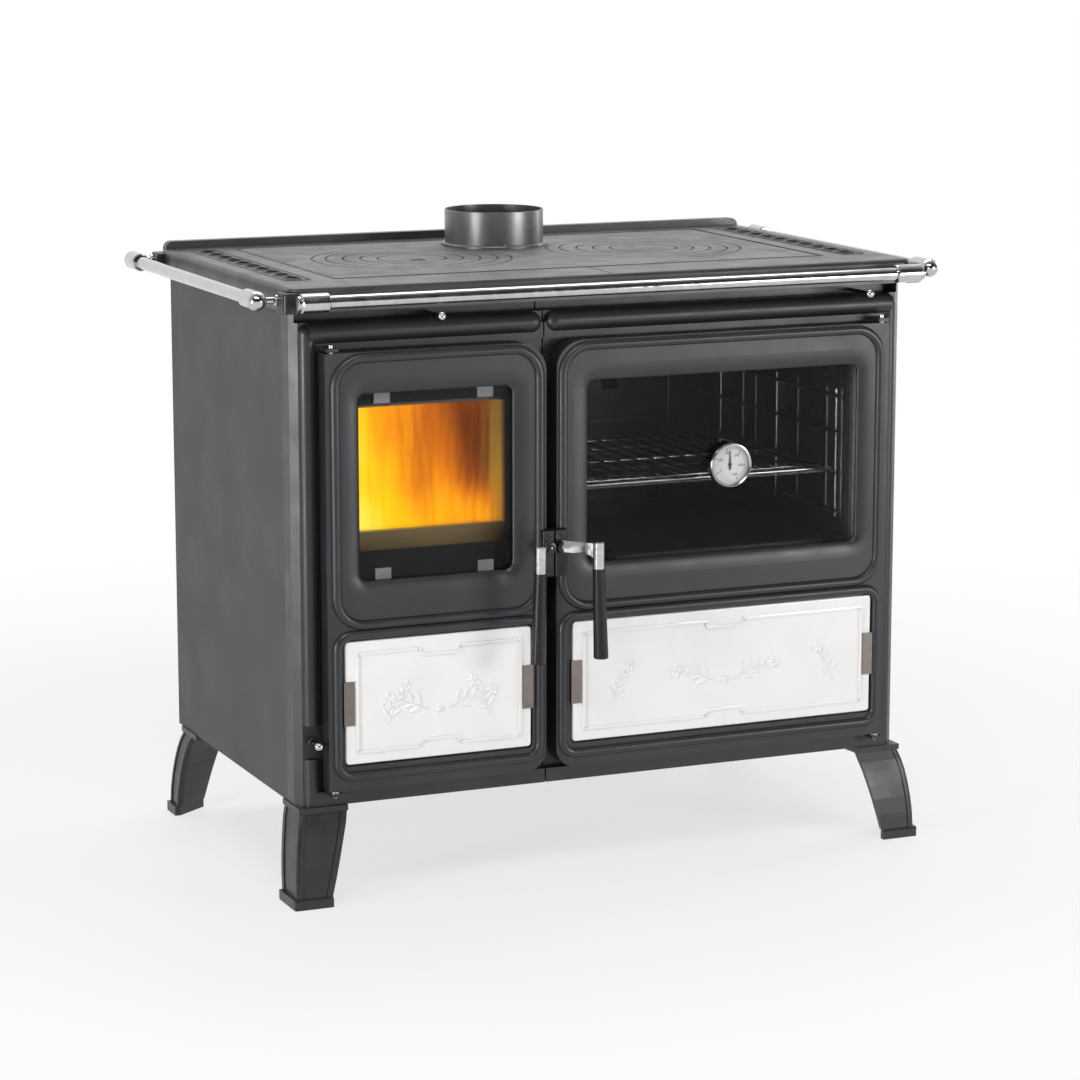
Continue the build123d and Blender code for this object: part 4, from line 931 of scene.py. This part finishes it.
# ----- Doors -----
@dataclass
class TileRelief:
    """Raised border and sprigs of one glazed tile."""

    name: str
    body: Body
    left: float
    right: float
    low: float = 197.0
    high: float = 370.0
    face: float = -35.0
    sink: float = 0.3
    inset: float = 15.0
    line: float = 4.2
    rise: float = 1.9
    step_x: float = 27.2
    step_depth: float = 9.0
    middle_foot: float = 16.0
    end_gap: float = 62.0

    def outline(self) -> list[Flat]:
        """The border line, stepped inwards at the middle of its top and bottom.

        Returns:
            Its corners round the tile's middle, anticlockwise.
        """
        wide = (self.right - self.left) / 2 - self.inset
        tall = (self.high - self.low) / 2 - self.inset
        step, deep = self.step_x, tall - self.step_depth
        return [(-wide, -tall), (-step, -tall), (-step, -deep), (step, -deep), (step, -tall),
                (wide, -tall), (wide, tall), (step, tall), (step, deep), (-step, deep),
                (-step, tall), (-wide, tall)]

    def sprig(self, draft: Draft, x: float, z: float, turn: float, size: float, side: int) -> None:
        """Adds a stem with paired leaves and a bud.

        Args:
            draft: the piece to add to.
            x: the stem's foot.
            z: height of its foot.
            turn: the stem's lean in degrees.
            size: the stem's length.
            side: 1 or -1, the side to which the stem bends.
        """
        bend = 0.2 * size * side
        place = at(x, self.face + self.sink, z, TO_FRONT @ spin_about("Z", turn))
        path = [(bend * t * t, size * t, 0.5) for t in (0.0, 0.2, 0.4, 0.6, 0.8, 1.0)]
        draft.add(tube(path, 0.9, 8), place)
        for pair, along in enumerate((0.18, 0.38, 0.58, 0.76)):
            grown = size * (0.36 - 0.05 * pair)
            for hand in (-1, 1):
                spot = Matrix.Translation((bend * along * along, size * along + 1.5 * hand, 0.0))
                lean = spin_about("Z", -hand * (52 - 5 * pair))
                draft.add(leaf(grown, grown * 0.36, self.rise, -hand * grown * 0.1), place @ spot @ lean)
        tip = Matrix.Translation((bend, size, 0.0))
        for petal in range(5):
            draft.add(leaf(size * 0.2, size * 0.15, 2.0), place @ tip @ spin_about("Z", 72 * petal))
        bud = spun(((0.0, 0.0), (1.9, 0.0), (1.8, 1.5), (1.0, 2.4), (0.0, 2.7)), 14)
        draft.add(bud, place @ tip)

    def build(self) -> None:
        """Builds the relief."""
        draft = Draft(self.name)
        x = (self.left + self.right) / 2
        z = (self.low + self.high) / 2
        foot = z - 18.0
        draft.add(ridge(self.outline(), 4.0, self.line, self.rise + self.sink),
                  at(x, self.face + self.sink, z, TO_FRONT))
        span = (self.right - self.left) / 2 - self.end_gap
        for side in (-1, 1):
            self.sprig(draft, x + side * self.middle_foot, foot, -side * 62, 64.0, side)
            self.sprig(draft, x + side * span, z - 34.0, side * 16, 56.0, -side)
        boss = ((0.0, 0.0), (6.0, 0.0), (5.8, 1.2), (4.6, 2.0), (3.0, 1.7), (2.4, 2.6), (0.0, 3.0))
        draft.add(spun(boss, 24), at(x, self.face + self.sink, foot, TO_FRONT))
        draft.finish(self.body, "tile_glaze")


@dataclass
class WindowShield:
    """Black sheet frame behind the firebox glass, under the clips."""

    left: float = -396.0
    right: float = -144.3
    low: float = 441.5
    high: float = 721.5
    mouth: tuple[float, float, float, float] = (-380.0, -164.0, 492.0, 695.0)
    front: float = -19.0
    sheet: float = 1.2
    edge: float = 0.3

    def build(self) -> None:
        """Builds the frame from four strips with rounded rims."""
        draft = Draft("firebox_glass_shield")
        x0, x1, z0, z1 = self.mouth
        for left, right, low, high in ((self.left, self.right, self.low, z0),
                                       (self.left, self.right, z1, self.high),
                                       (self.left, x0, z0, z1), (x1, self.right, z0, z1)):
            strip = plate(rectangle(right - left, high - low), 0.0, self.sheet, self.edge)
            draft.add(strip, at((left + right) / 2, self.front + self.sheet, (low + high) / 2, TO_FRONT))
        draft.finish(Body.FIREBOX_DOOR, "inner_sheet", "shield_black")


@dataclass
class Thermometer:
    """Scale, numerals, bezel and lens of the oven thermometer."""

    x: float = 178.5
    z: float = 578.0
    face: float = -31.2
    bezel_face: float = -36.6
    lens_face: float = -35.0
    low_angle: float = -120.0
    high_angle: float = 150.0
    divisions: int = 25
    numbered: int = 5
    ring_radius: float = 25.6
    tick_radius: float = 25.2
    numeral_radius: float = 17.0
    print_smooth: float = 20.0

    def place(self, step: float, radius: float) -> Matrix:
        """A spot at one step of the scale, turned so that its +Y points outwards.

        Args:
            step: how far along the scale, in divisions.
            radius: distance from the dial's middle.

        Returns:
            The place.
        """
        angle = self.low_angle + (self.high_angle - self.low_angle) * step / self.divisions
        return (at(self.x, self.face, self.z, TO_FRONT) @ spin_about("Z", -angle)
                @ Matrix.Translation((0.0, radius, 0.0)))

    def build_marks(self) -> None:
        """Builds the scale's ticks and the ring round them."""
        marks = Draft("thermometer_marks")
        for step in range(self.divisions + 1):
            width, length = (0.5, 2.6) if step % self.numbered else (1.0, 4.4)
            marks.add(plate(rectangle(width, length), 0.0, 0.12),
                      self.place(step, self.tick_radius - length / 2))
        ring = [(self.ring_radius * math.cos(angle), self.ring_radius * math.sin(angle))
                for angle in (math.tau * step / 64 for step in range(64))]
        marks.add(ridge(ring, 0.0, 0.5, 0.12), at(self.x, self.face, self.z, TO_FRONT))
        marks.finish(Body.OVEN_DOOR, "needle", "needle", self.print_smooth)

    def build_numerals(self) -> None:
        """Builds a number beside each long tick, each of them upright."""
        numerals = Draft("thermometer_numerals")
        for count, step in enumerate(range(0, self.divisions + 1, self.numbered)):
            spot = self.place(step, self.numeral_radius)
            upright = at(*spot.translation, TO_FRONT)
            numerals.add(lettering(str(count * 100), 5.6), upright)
        numerals.finish(Body.OVEN_DOOR, "needle", "needle", self.print_smooth)

    def build(self) -> None:
        """Builds the printed scale, the bezel's inner ring and the lens."""
        self.build_marks()
        self.build_numerals()
        rim = ((28.3, 0.0), (31.4, 0.0), (31.4, 1.0), (30.9, 1.7), (30.1, 1.9), (29.3, 1.5),
               (28.9, 0.9), (28.3, 0.6), (28.3, 0.0))
        Draft("thermometer_bezel").add(
            spun(rim, 72), at(self.x, self.bezel_face, self.z, TO_FRONT)
        ).finish(Body.OVEN_DOOR, "chrome")
        dome = ((0.0, 0.0), (27.9, 0.0), (27.9, 0.8), (20.0, 1.0), (10.0, 1.1), (0.0, 1.2))
        Draft("thermometer_lens").add(
            spun(dome, 64), at(self.x, self.lens_face, self.z, TO_FRONT)
        ).finish(Body.OVEN_DOOR, "window_glass")


@dataclass
class SpindleCap:
    """Black cap over the hub of a door handle, with its screw."""

    body: Body
    x: float
    y: float = -46.2
    z: float = 482.0
    radius: float = 9.4
    reach: float = 8.6
    bevel: float = 2.0
    recess_radius: float = 3.6
    recess: float = 1.0

    def build(self) -> None:
        """Builds the cap and the screw sunk in it."""
        floor = self.reach - self.recess
        profile = ((0.0, 0.0), (self.radius, 0.0), (self.radius, self.reach - self.bevel),
                   (self.radius - 0.6, self.reach - 0.6), (self.radius - self.bevel, self.reach),
                   (self.recess_radius, self.reach), (self.recess_radius - 0.2, floor), (0.0, floor))
        place = at(self.x, self.y, self.z, TO_FRONT)
        name = f"{self.body.value}_cap"
        Draft(name).add(spun(profile, 40), place).finish(self.body, "dark_casting")
        sunk = place @ Matrix.Translation((0.0, 0.0, floor - 0.1))
        Draft(f"{name}_screw").add(screw_head(2.9, 1.3), sunk).finish(self.body, "zinc")


@dataclass
class FrontFittings:
    """Collar of the primary-air knob and the screws of the latch blocks."""

    knob_x: float = -447.2
    knob_z: float = 227.0
    column_face: float = -5.9
    latch_x: tuple[float, float] = (-108.9, -89.9)
    latch_z: tuple[float, float] = (449.0, 499.0)
    latch_face: float = -46.0

    def build(self) -> None:
        """Builds the collar and the screws."""
        ring = ((3.7, 0.0), (7.4, 0.0), (7.4, 2.2), (6.4, 3.4), (4.4, 3.8), (3.7, 3.4), (3.7, 0.0))
        Draft("primary_air_collar").add(
            spun(ring, 36), at(self.knob_x, self.column_face, self.knob_z, TO_FRONT)
        ).finish(Body.ROOT, "dark_casting")
        for body, x in zip((Body.FIREBOX_DOOR, Body.OVEN_DOOR), self.latch_x):
            Draft(f"{body.value}_latch_screws").add(
                screw_head(3.0, 1.2), *(at(x, self.latch_face, z, TO_FRONT) for z in self.latch_z)
            ).finish(body, "dark_casting")


# ----- Hob and back -----
@dataclass
class HobTrim:
    """Rims of the pierced side borders, the lip round the plate and the collar's screws."""

    deck: float = 858.0
    sink: float = 0.1
    border: Flat = (40.0, 432.0)
    slot: Flat = (24.0, 36.0)
    slot_x: float = 430.5
    slot_y: float = 286.5
    slot_pitch: float = 41.0
    slot_count: int = 10
    plate: tuple[float, float, float, float] = (-377.0, 377.0, 74.0, 499.0)
    lip_gap: float = 7.0
    collar_y: float = 411.0
    collar_screw_radius: float = 76.6
    flange: float = 5.0

    def build(self) -> None:
        """Builds rims, lip and screws."""
        level = self.deck - self.sink
        rims = Draft("hob_slot_rims")
        for side in Side:
            x = side.value * self.slot_x
            for step in range(self.slot_count):
                y = self.slot_y + (step - (self.slot_count - 1) / 2) * self.slot_pitch
                rims.add(ridge(rectangle(*self.slot), 11.9, 2.6, 1.4), at(x, y, level))
            rims.add(ridge(rectangle(*self.border), 9.0, 2.4, 1.2), at(x, self.slot_y, level))
        rims.finish(Body.ROOT, "cast_body", "hob_casting")
        left, right, front, back = self.plate
        outline = rectangle(right - left + self.lip_gap, back - front + self.lip_gap)
        Draft("hob_plate_lip").add(
            ridge(outline, 6.0, 3.2, 1.0), at((left + right) / 2, (front + back) / 2, level)
        ).finish(Body.ROOT, "cast_body", "hob_casting")
        screws = Draft("collar_screws")
        for angle in (math.radians(degrees) for degrees in (20, 140, 260)):
            x = self.collar_screw_radius * math.cos(angle)
            y = self.collar_y + self.collar_screw_radius * math.sin(angle)
            screws.add(screw_head(1.9, 1.2), at(x, y, self.deck + self.flange))
        screws.finish(Body.ROOT, "zinc")


@dataclass
class BackDetail:
    """Pressed ridges, air louvres and screws of the back panel."""

    face: float = 534.0
    low: float = 140.0
    high: float = 824.0
    sink: float = 0.2
    field_x: float = 230.0
    field_size: Flat = (400.0, 560.0)
    louvre_size: Flat = (150.0, 9.0)
    louvre_low: float = 250.0
    louvre_pitch: float = 22.0
    louvre_count: int = 6
    screw_x: float = 226.0
    screw_z: tuple[float, ...] = (310.0, 482.0, 654.0)

    def build(self) -> None:
        """Builds ridges, louvres and screws."""
        ridges = Draft("back_panel_ridges")
        bed = self.face - self.sink
        for side in Side:
            x = side.value * self.field_x
            ridges.add(ridge(rectangle(*self.field_size), 26.0, 9.0, 3.2),
                       at(x, bed, (self.low + self.high) / 2, TO_BACK))
        for side in Side:
            x = side.value * self.field_x
            for step in range(self.louvre_count):
                z = self.louvre_low + self.louvre_pitch * step
                ridges.add(plate(rectangle(*self.louvre_size), 4.4, 4.6, 3.6),
                           at(x, bed, z, TO_BACK @ spin_about("X", 12)))
        ridges.finish(Body.ROOT, "side_sheet")
        spots = [(self.screw_x * column, z) for column in (-2, -1, 0, 1, 2)
                 for z in (self.low + 14, self.high - 16)]
        spots += [(self.screw_x * column, z) for z in self.screw_z for column in (-2, 2)]
        Draft("back_panel_screws").add(
            screw_head(4.2, 2.4), *(at(x, self.face, z, TO_BACK) for x, z in spots)
        ).finish(Body.ROOT, "zinc")


# ----- Fire -----
@dataclass
class Fire:
    """Logs, ember bed and flames in the firebox, with painted firelight on its right side."""

    floor: float = 442.0
    left: float = -396.0
    right: float = -149.0
    front: float = 48.0
    back: float = 330.0
    seed: int = 11
    lumps: int = 90
    wall_gap: float = 20.0
    flame_y: float = 92.0
    flame_turn: float = 14.0
    wall_light_run: float = 52.0
    flame_foot: float = 8.0
    flame_height: float = 268.0
    flame_sheet: float = 2.0

    def log(self, length: float, radius: float, shade: float) -> Shape:
        """A split log along X with rough bark.

        Args:
            length: end to end.
            radius: its mean radius.
            shade: picks the roughness pattern.

        Returns:
            The new mesh.
        """
        rings = 26
        path = [(length * (step / rings - 0.5), 0.0, 0.0) for step in range(rings + 1)]
        mesh = tube(path, radius, 22)
        for vert in mesh.verts:
            off = Vector((0.0, vert.co.y, vert.co.z))
            spot = Vector((vert.co.x * 0.02, vert.co.y * 0.09, vert.co.z * 0.09 + shade))
            swell = 1.0 + 0.3 * noise.noise(spot) + 0.12 * noise.noise(spot * 4)
            vert.co.y, vert.co.z = (off * swell).yz
        ends = [face for face in mesh.faces if len(face.verts) > 4]
        bmesh.ops.inset_region(mesh, faces=ends, thickness=radius * 0.12, depth=2.0)
        return mesh

    def build_logs(self) -> None:
        """Builds two logs side by side and a third one across them."""
        low, high = self.floor + 40, self.floor + 84
        draft = Draft("firewood")
        draft.add(self.log(225, 27, 1.0), at(-274, 145, low, spin_about("Z", 4)))
        draft.add(self.log(215, 25, 5.0), at(-276, 255, low, spin_about("Z", -7)))
        draft.add(self.log(190, 23, 9.0), at(-262, 200, high, spin_about("Z", 24) @ spin_about("Y", -6)))
        draft.finish(Body.ROOT, "fire_iron", "ember", 60.0)

    def build_embers(self) -> None:
        """Builds the bed of glowing lumps on the grate."""
        chance = random.Random(self.seed)
        draft = Draft("ember_bed")
        for _ in range(self.lumps):
            lump = bmesh.new()
            size = chance.uniform(8, 17)
            bmesh.ops.create_icosphere(lump, subdivisions=2, radius=size)
            for vert in lump.verts:
                vert.co *= 1.0 + 0.35 * noise.noise(vert.co * 0.11 + Vector((size, 0, 0)))
            x = chance.uniform(self.left + self.wall_gap, self.right - self.wall_gap)
            y = chance.uniform(self.front, self.back)
            z = self.floor + size * 0.72 + chance.uniform(0, 12)
            draft.add(lump, at(x, y, z, spin_about("X", chance.uniform(0, 180))))
        draft.finish(Body.ROOT, "fire_iron", "ember", 50.0)

    def curtain(self) -> Shape:
        """A rippling sheet of flame that crosses the firebox and turns forwards at its right side, where it
        carries painted firelight.

        Returns:
            The new closed mesh.
        """
        mesh = bmesh.new()
        bmesh.ops.create_grid(mesh, x_segments=90, y_segments=34, size=0.5)
        run = self.right - self.flame_turn - self.left
        bend = math.pi / 2 * self.flame_turn
        for vert in mesh.verts:
            along = (vert.co.x + 0.5) * (run + bend + self.wall_light_run)
            rise = vert.co.y + 0.5
            bent = min(max(along - run, 0.0) / bend, 1.0) * math.pi / 2
            x = self.left + min(along, run) + self.flame_turn * math.sin(bent)
            y = self.flame_y - self.flame_turn * (1.0 - math.cos(bent))
            y -= max(along - run - bend, 0.0)
            ripple = 6 * math.sin(along * 0.07 + rise * 3) + 3 * math.sin(along * 0.17 - rise * 6)
            lick = 1.0 + 0.05 * math.sin(along * 0.11)
            vert.co = (x, y + ripple * math.cos(bent),
                       self.floor + self.flame_foot + self.flame_height * rise * lick)
        bmesh.ops.solidify(mesh, geom=list(mesh.faces), thickness=self.flame_sheet)
        return clean(mesh)

    def build_flames(self) -> None:
        """Builds the flames, with painted firelight on the firebox's right side."""
        Draft("flames").add(self.curtain(), Matrix.Identity(4)).finish(
            Body.ROOT, "fire_iron", "flame", 60.0)

    def build(self) -> None:
        """Builds the whole fire."""
        self.build_embers()
        self.build_logs()
        self.build_flames()


# ----- Studio -----
def backdrop_rays(tree: bpy.types.NodeTree) -> Socket:
    """1 for camera, glossy and transmission rays that met no dull surface, 0 for all others.

    Args:
        tree: the material's or the world's nodes.

    Returns:
        The result's output.
    """
    path = tree.nodes.new("ShaderNodeLightPath").outputs
    total = path["Is Camera Ray"]
    for kind in ("Is Glossy Ray", "Is Transmission Ray"):
        total = maths("MAXIMUM", total, path[kind])
    return maths("MULTIPLY", total, maths("LESS_THAN", path["Diffuse Depth"], 0.5))


@dataclass(frozen=True)
class SoftBox:
    """A rectangular lamp, with its size in metres and its power in watts."""

    name: str
    place: Point
    target: Point
    size: Flat
    power: float

    def build(self) -> None:
        """Adds the lamp and turns it to its target."""
        data = bpy.data.lights.new(self.name, "AREA")
        data.shape = "RECTANGLE"
        data.size, data.size_y = self.size
        data.energy = self.power
        holder = add_object(self.name, data)
        holder.location = self.place
        aim = Vector(self.target) - Vector(self.place)
        holder.rotation_euler = aim.to_track_quat("-Z", "Y").to_euler()


LAMPS = (
    SoftBox("left_box", (-3.1, -1.25, 0.62), (0.0, -0.1, 0.5), (0.5, 1.2), 56.0),
    SoftBox("front_box", (-0.9, -2.2, 3.0), (0.0, -0.2, 0.5), (2.4, 0.7), 46.0),
    SoftBox("low_box", (2.2, -2.95, 0.85), (0.0, -0.2, 0.6), (1.3, 0.9), 52.0),
    SoftBox("right_box", (2.9, 0.7, 1.2), (0.0, 0.1, 0.7), (0.45, 1.6), 18.0),
    SoftBox("top_box", (0.3, 0.9, 2.9), (0.0, 0.0, 0.9), (2.4, 1.2), 36.0),
)


@dataclass
class Studio:
    """Camera, lamps, floor and white surround."""

    position: Point = (-2.01, -4.6326, 1.3909)
    turn: Point = (79.2869, 0.0, -23.4537)
    lens: float = 115.615
    sensor: float = 36.0
    far: float = 60.0
    floor_size: float = 30.0
    floor_colour: Colour = (0.88, 0.88, 0.885)
    fade_start: float = 0.7
    fade_end: float = 2.4
    near_white: float = 0.68
    fill: float = 0.16
    room_y: float = -0.55
    wall_y: float = 0.6
    room_grey: float = 0.05

    def camera(self) -> None:
        """Adds the camera where the photograph was taken from."""
        data = bpy.data.cameras.new("camera")
        data.lens = self.lens
        data.sensor_width = self.sensor
        data.clip_end = self.far
        holder = add_object("camera", data)
        holder.location = self.position
        holder.rotation_euler = tuple(math.radians(angle) for angle in self.turn)
        bpy.context.scene.camera = holder

    def floor(self) -> None:
        """Adds the floor: it takes the shadow, and turns plain white away from the stove."""
        mesh = bmesh.new()
        bmesh.ops.create_grid(mesh, x_segments=1, y_segments=1, size=self.floor_size)
        data = bpy.data.meshes.new("floor")
        mesh.to_mesh(data)
        mesh.free()
        surface = Surface("floor")
        surface.set(Base_Color=(*self.floor_colour, 1.0), Roughness=0.5, Specular_IOR_Level=0.25)
        tree = surface.tree
        distance = add_node(tree, "ShaderNodeVectorMath", "Value", {0: surface.coords}, operation="LENGTH")
        fade = add_node(tree, "ShaderNodeMapRange", "Result", {
            "From Min": self.fade_start, "From Max": self.fade_end, "To Min": self.near_white,
            "Value": distance}, interpolation_type="SMOOTHSTEP")
        white = add_node(tree, "ShaderNodeEmission", "Emission", {"Color": WHITE})
        seen = maths("MULTIPLY", backdrop_rays(tree), fade)
        choice = add_node(tree, "ShaderNodeMixShader", "Shader", {
            0: seen, 1: surface.shader.outputs["BSDF"], 2: white})
        feed(tree.nodes["Material Output"], {"Surface": choice})
        data.materials.append(surface.material)
        ground = add_object("floor", data)

    def surround(self) -> None:
        """Adds a world that looks white, but dimmer where the room is mirrored."""
        world = bpy.data.worlds.new("surround")
        world.use_nodes = True
        tree = world.node_tree
        fill = tree.nodes["Background"]
        feed(fill, {"Color": WHITE, "Strength": self.fill})
        view = tree.nodes.new("ShaderNodeTexCoord").outputs["Generated"]
        split = add_node(tree, "ShaderNodeSeparateXYZ", "Y", {"Vector": view})
        depth = add_node(tree, "ShaderNodeMapRange", "Result", {
            "From Min": self.room_y, "From Max": self.wall_y, "To Min": self.room_grey,
            "Value": split})
        path = tree.nodes.new("ShaderNodeLightPath").outputs
        level = maths("MAXIMUM", path["Is Camera Ray"], depth)
        seen = add_node(tree, "ShaderNodeBackground", 0, {"Color": WHITE, "Strength": level})
        choice = add_node(tree, "ShaderNodeMixShader", 0, {
            0: backdrop_rays(tree), 1: fill.outputs[0], 2: seen})
        feed(tree.nodes["World Output"], {"Surface": choice})
        bpy.context.scene.world = world

    def build(self) -> None:
        """Sets up the whole studio."""
        bpy.context.scene.view_settings.view_transform = "Standard"
        self.camera()
        self.floor()
        self.surround()
        for lamp in LAMPS:
            lamp.build()


def main() -> None:
    """Builds every sub-assembly in order."""
    logging.basicConfig(level=logging.INFO, format="%(message)s")
    PALETTE.build()
    PALETTE.dress_frame()
    for assembly in (
            TileRelief("firebox_tile_relief", Body.FIREBOX_DOOR, -408.9, -131.4),
            TileRelief("oven_tile_relief", Body.OVEN_DOOR, -67.4, 408.9),
            WindowShield(), Thermometer(), SpindleCap(Body.FIREBOX_HANDLE, -109.4),
            SpindleCap(Body.OVEN_HANDLE, -89.4), FrontFittings(), HobTrim(), BackDetail(),
            Fire(), Studio()):
        LOG.info("building %s", type(assembly).__name__)
        assembly.build()


if __name__ == "__main__":
    main()
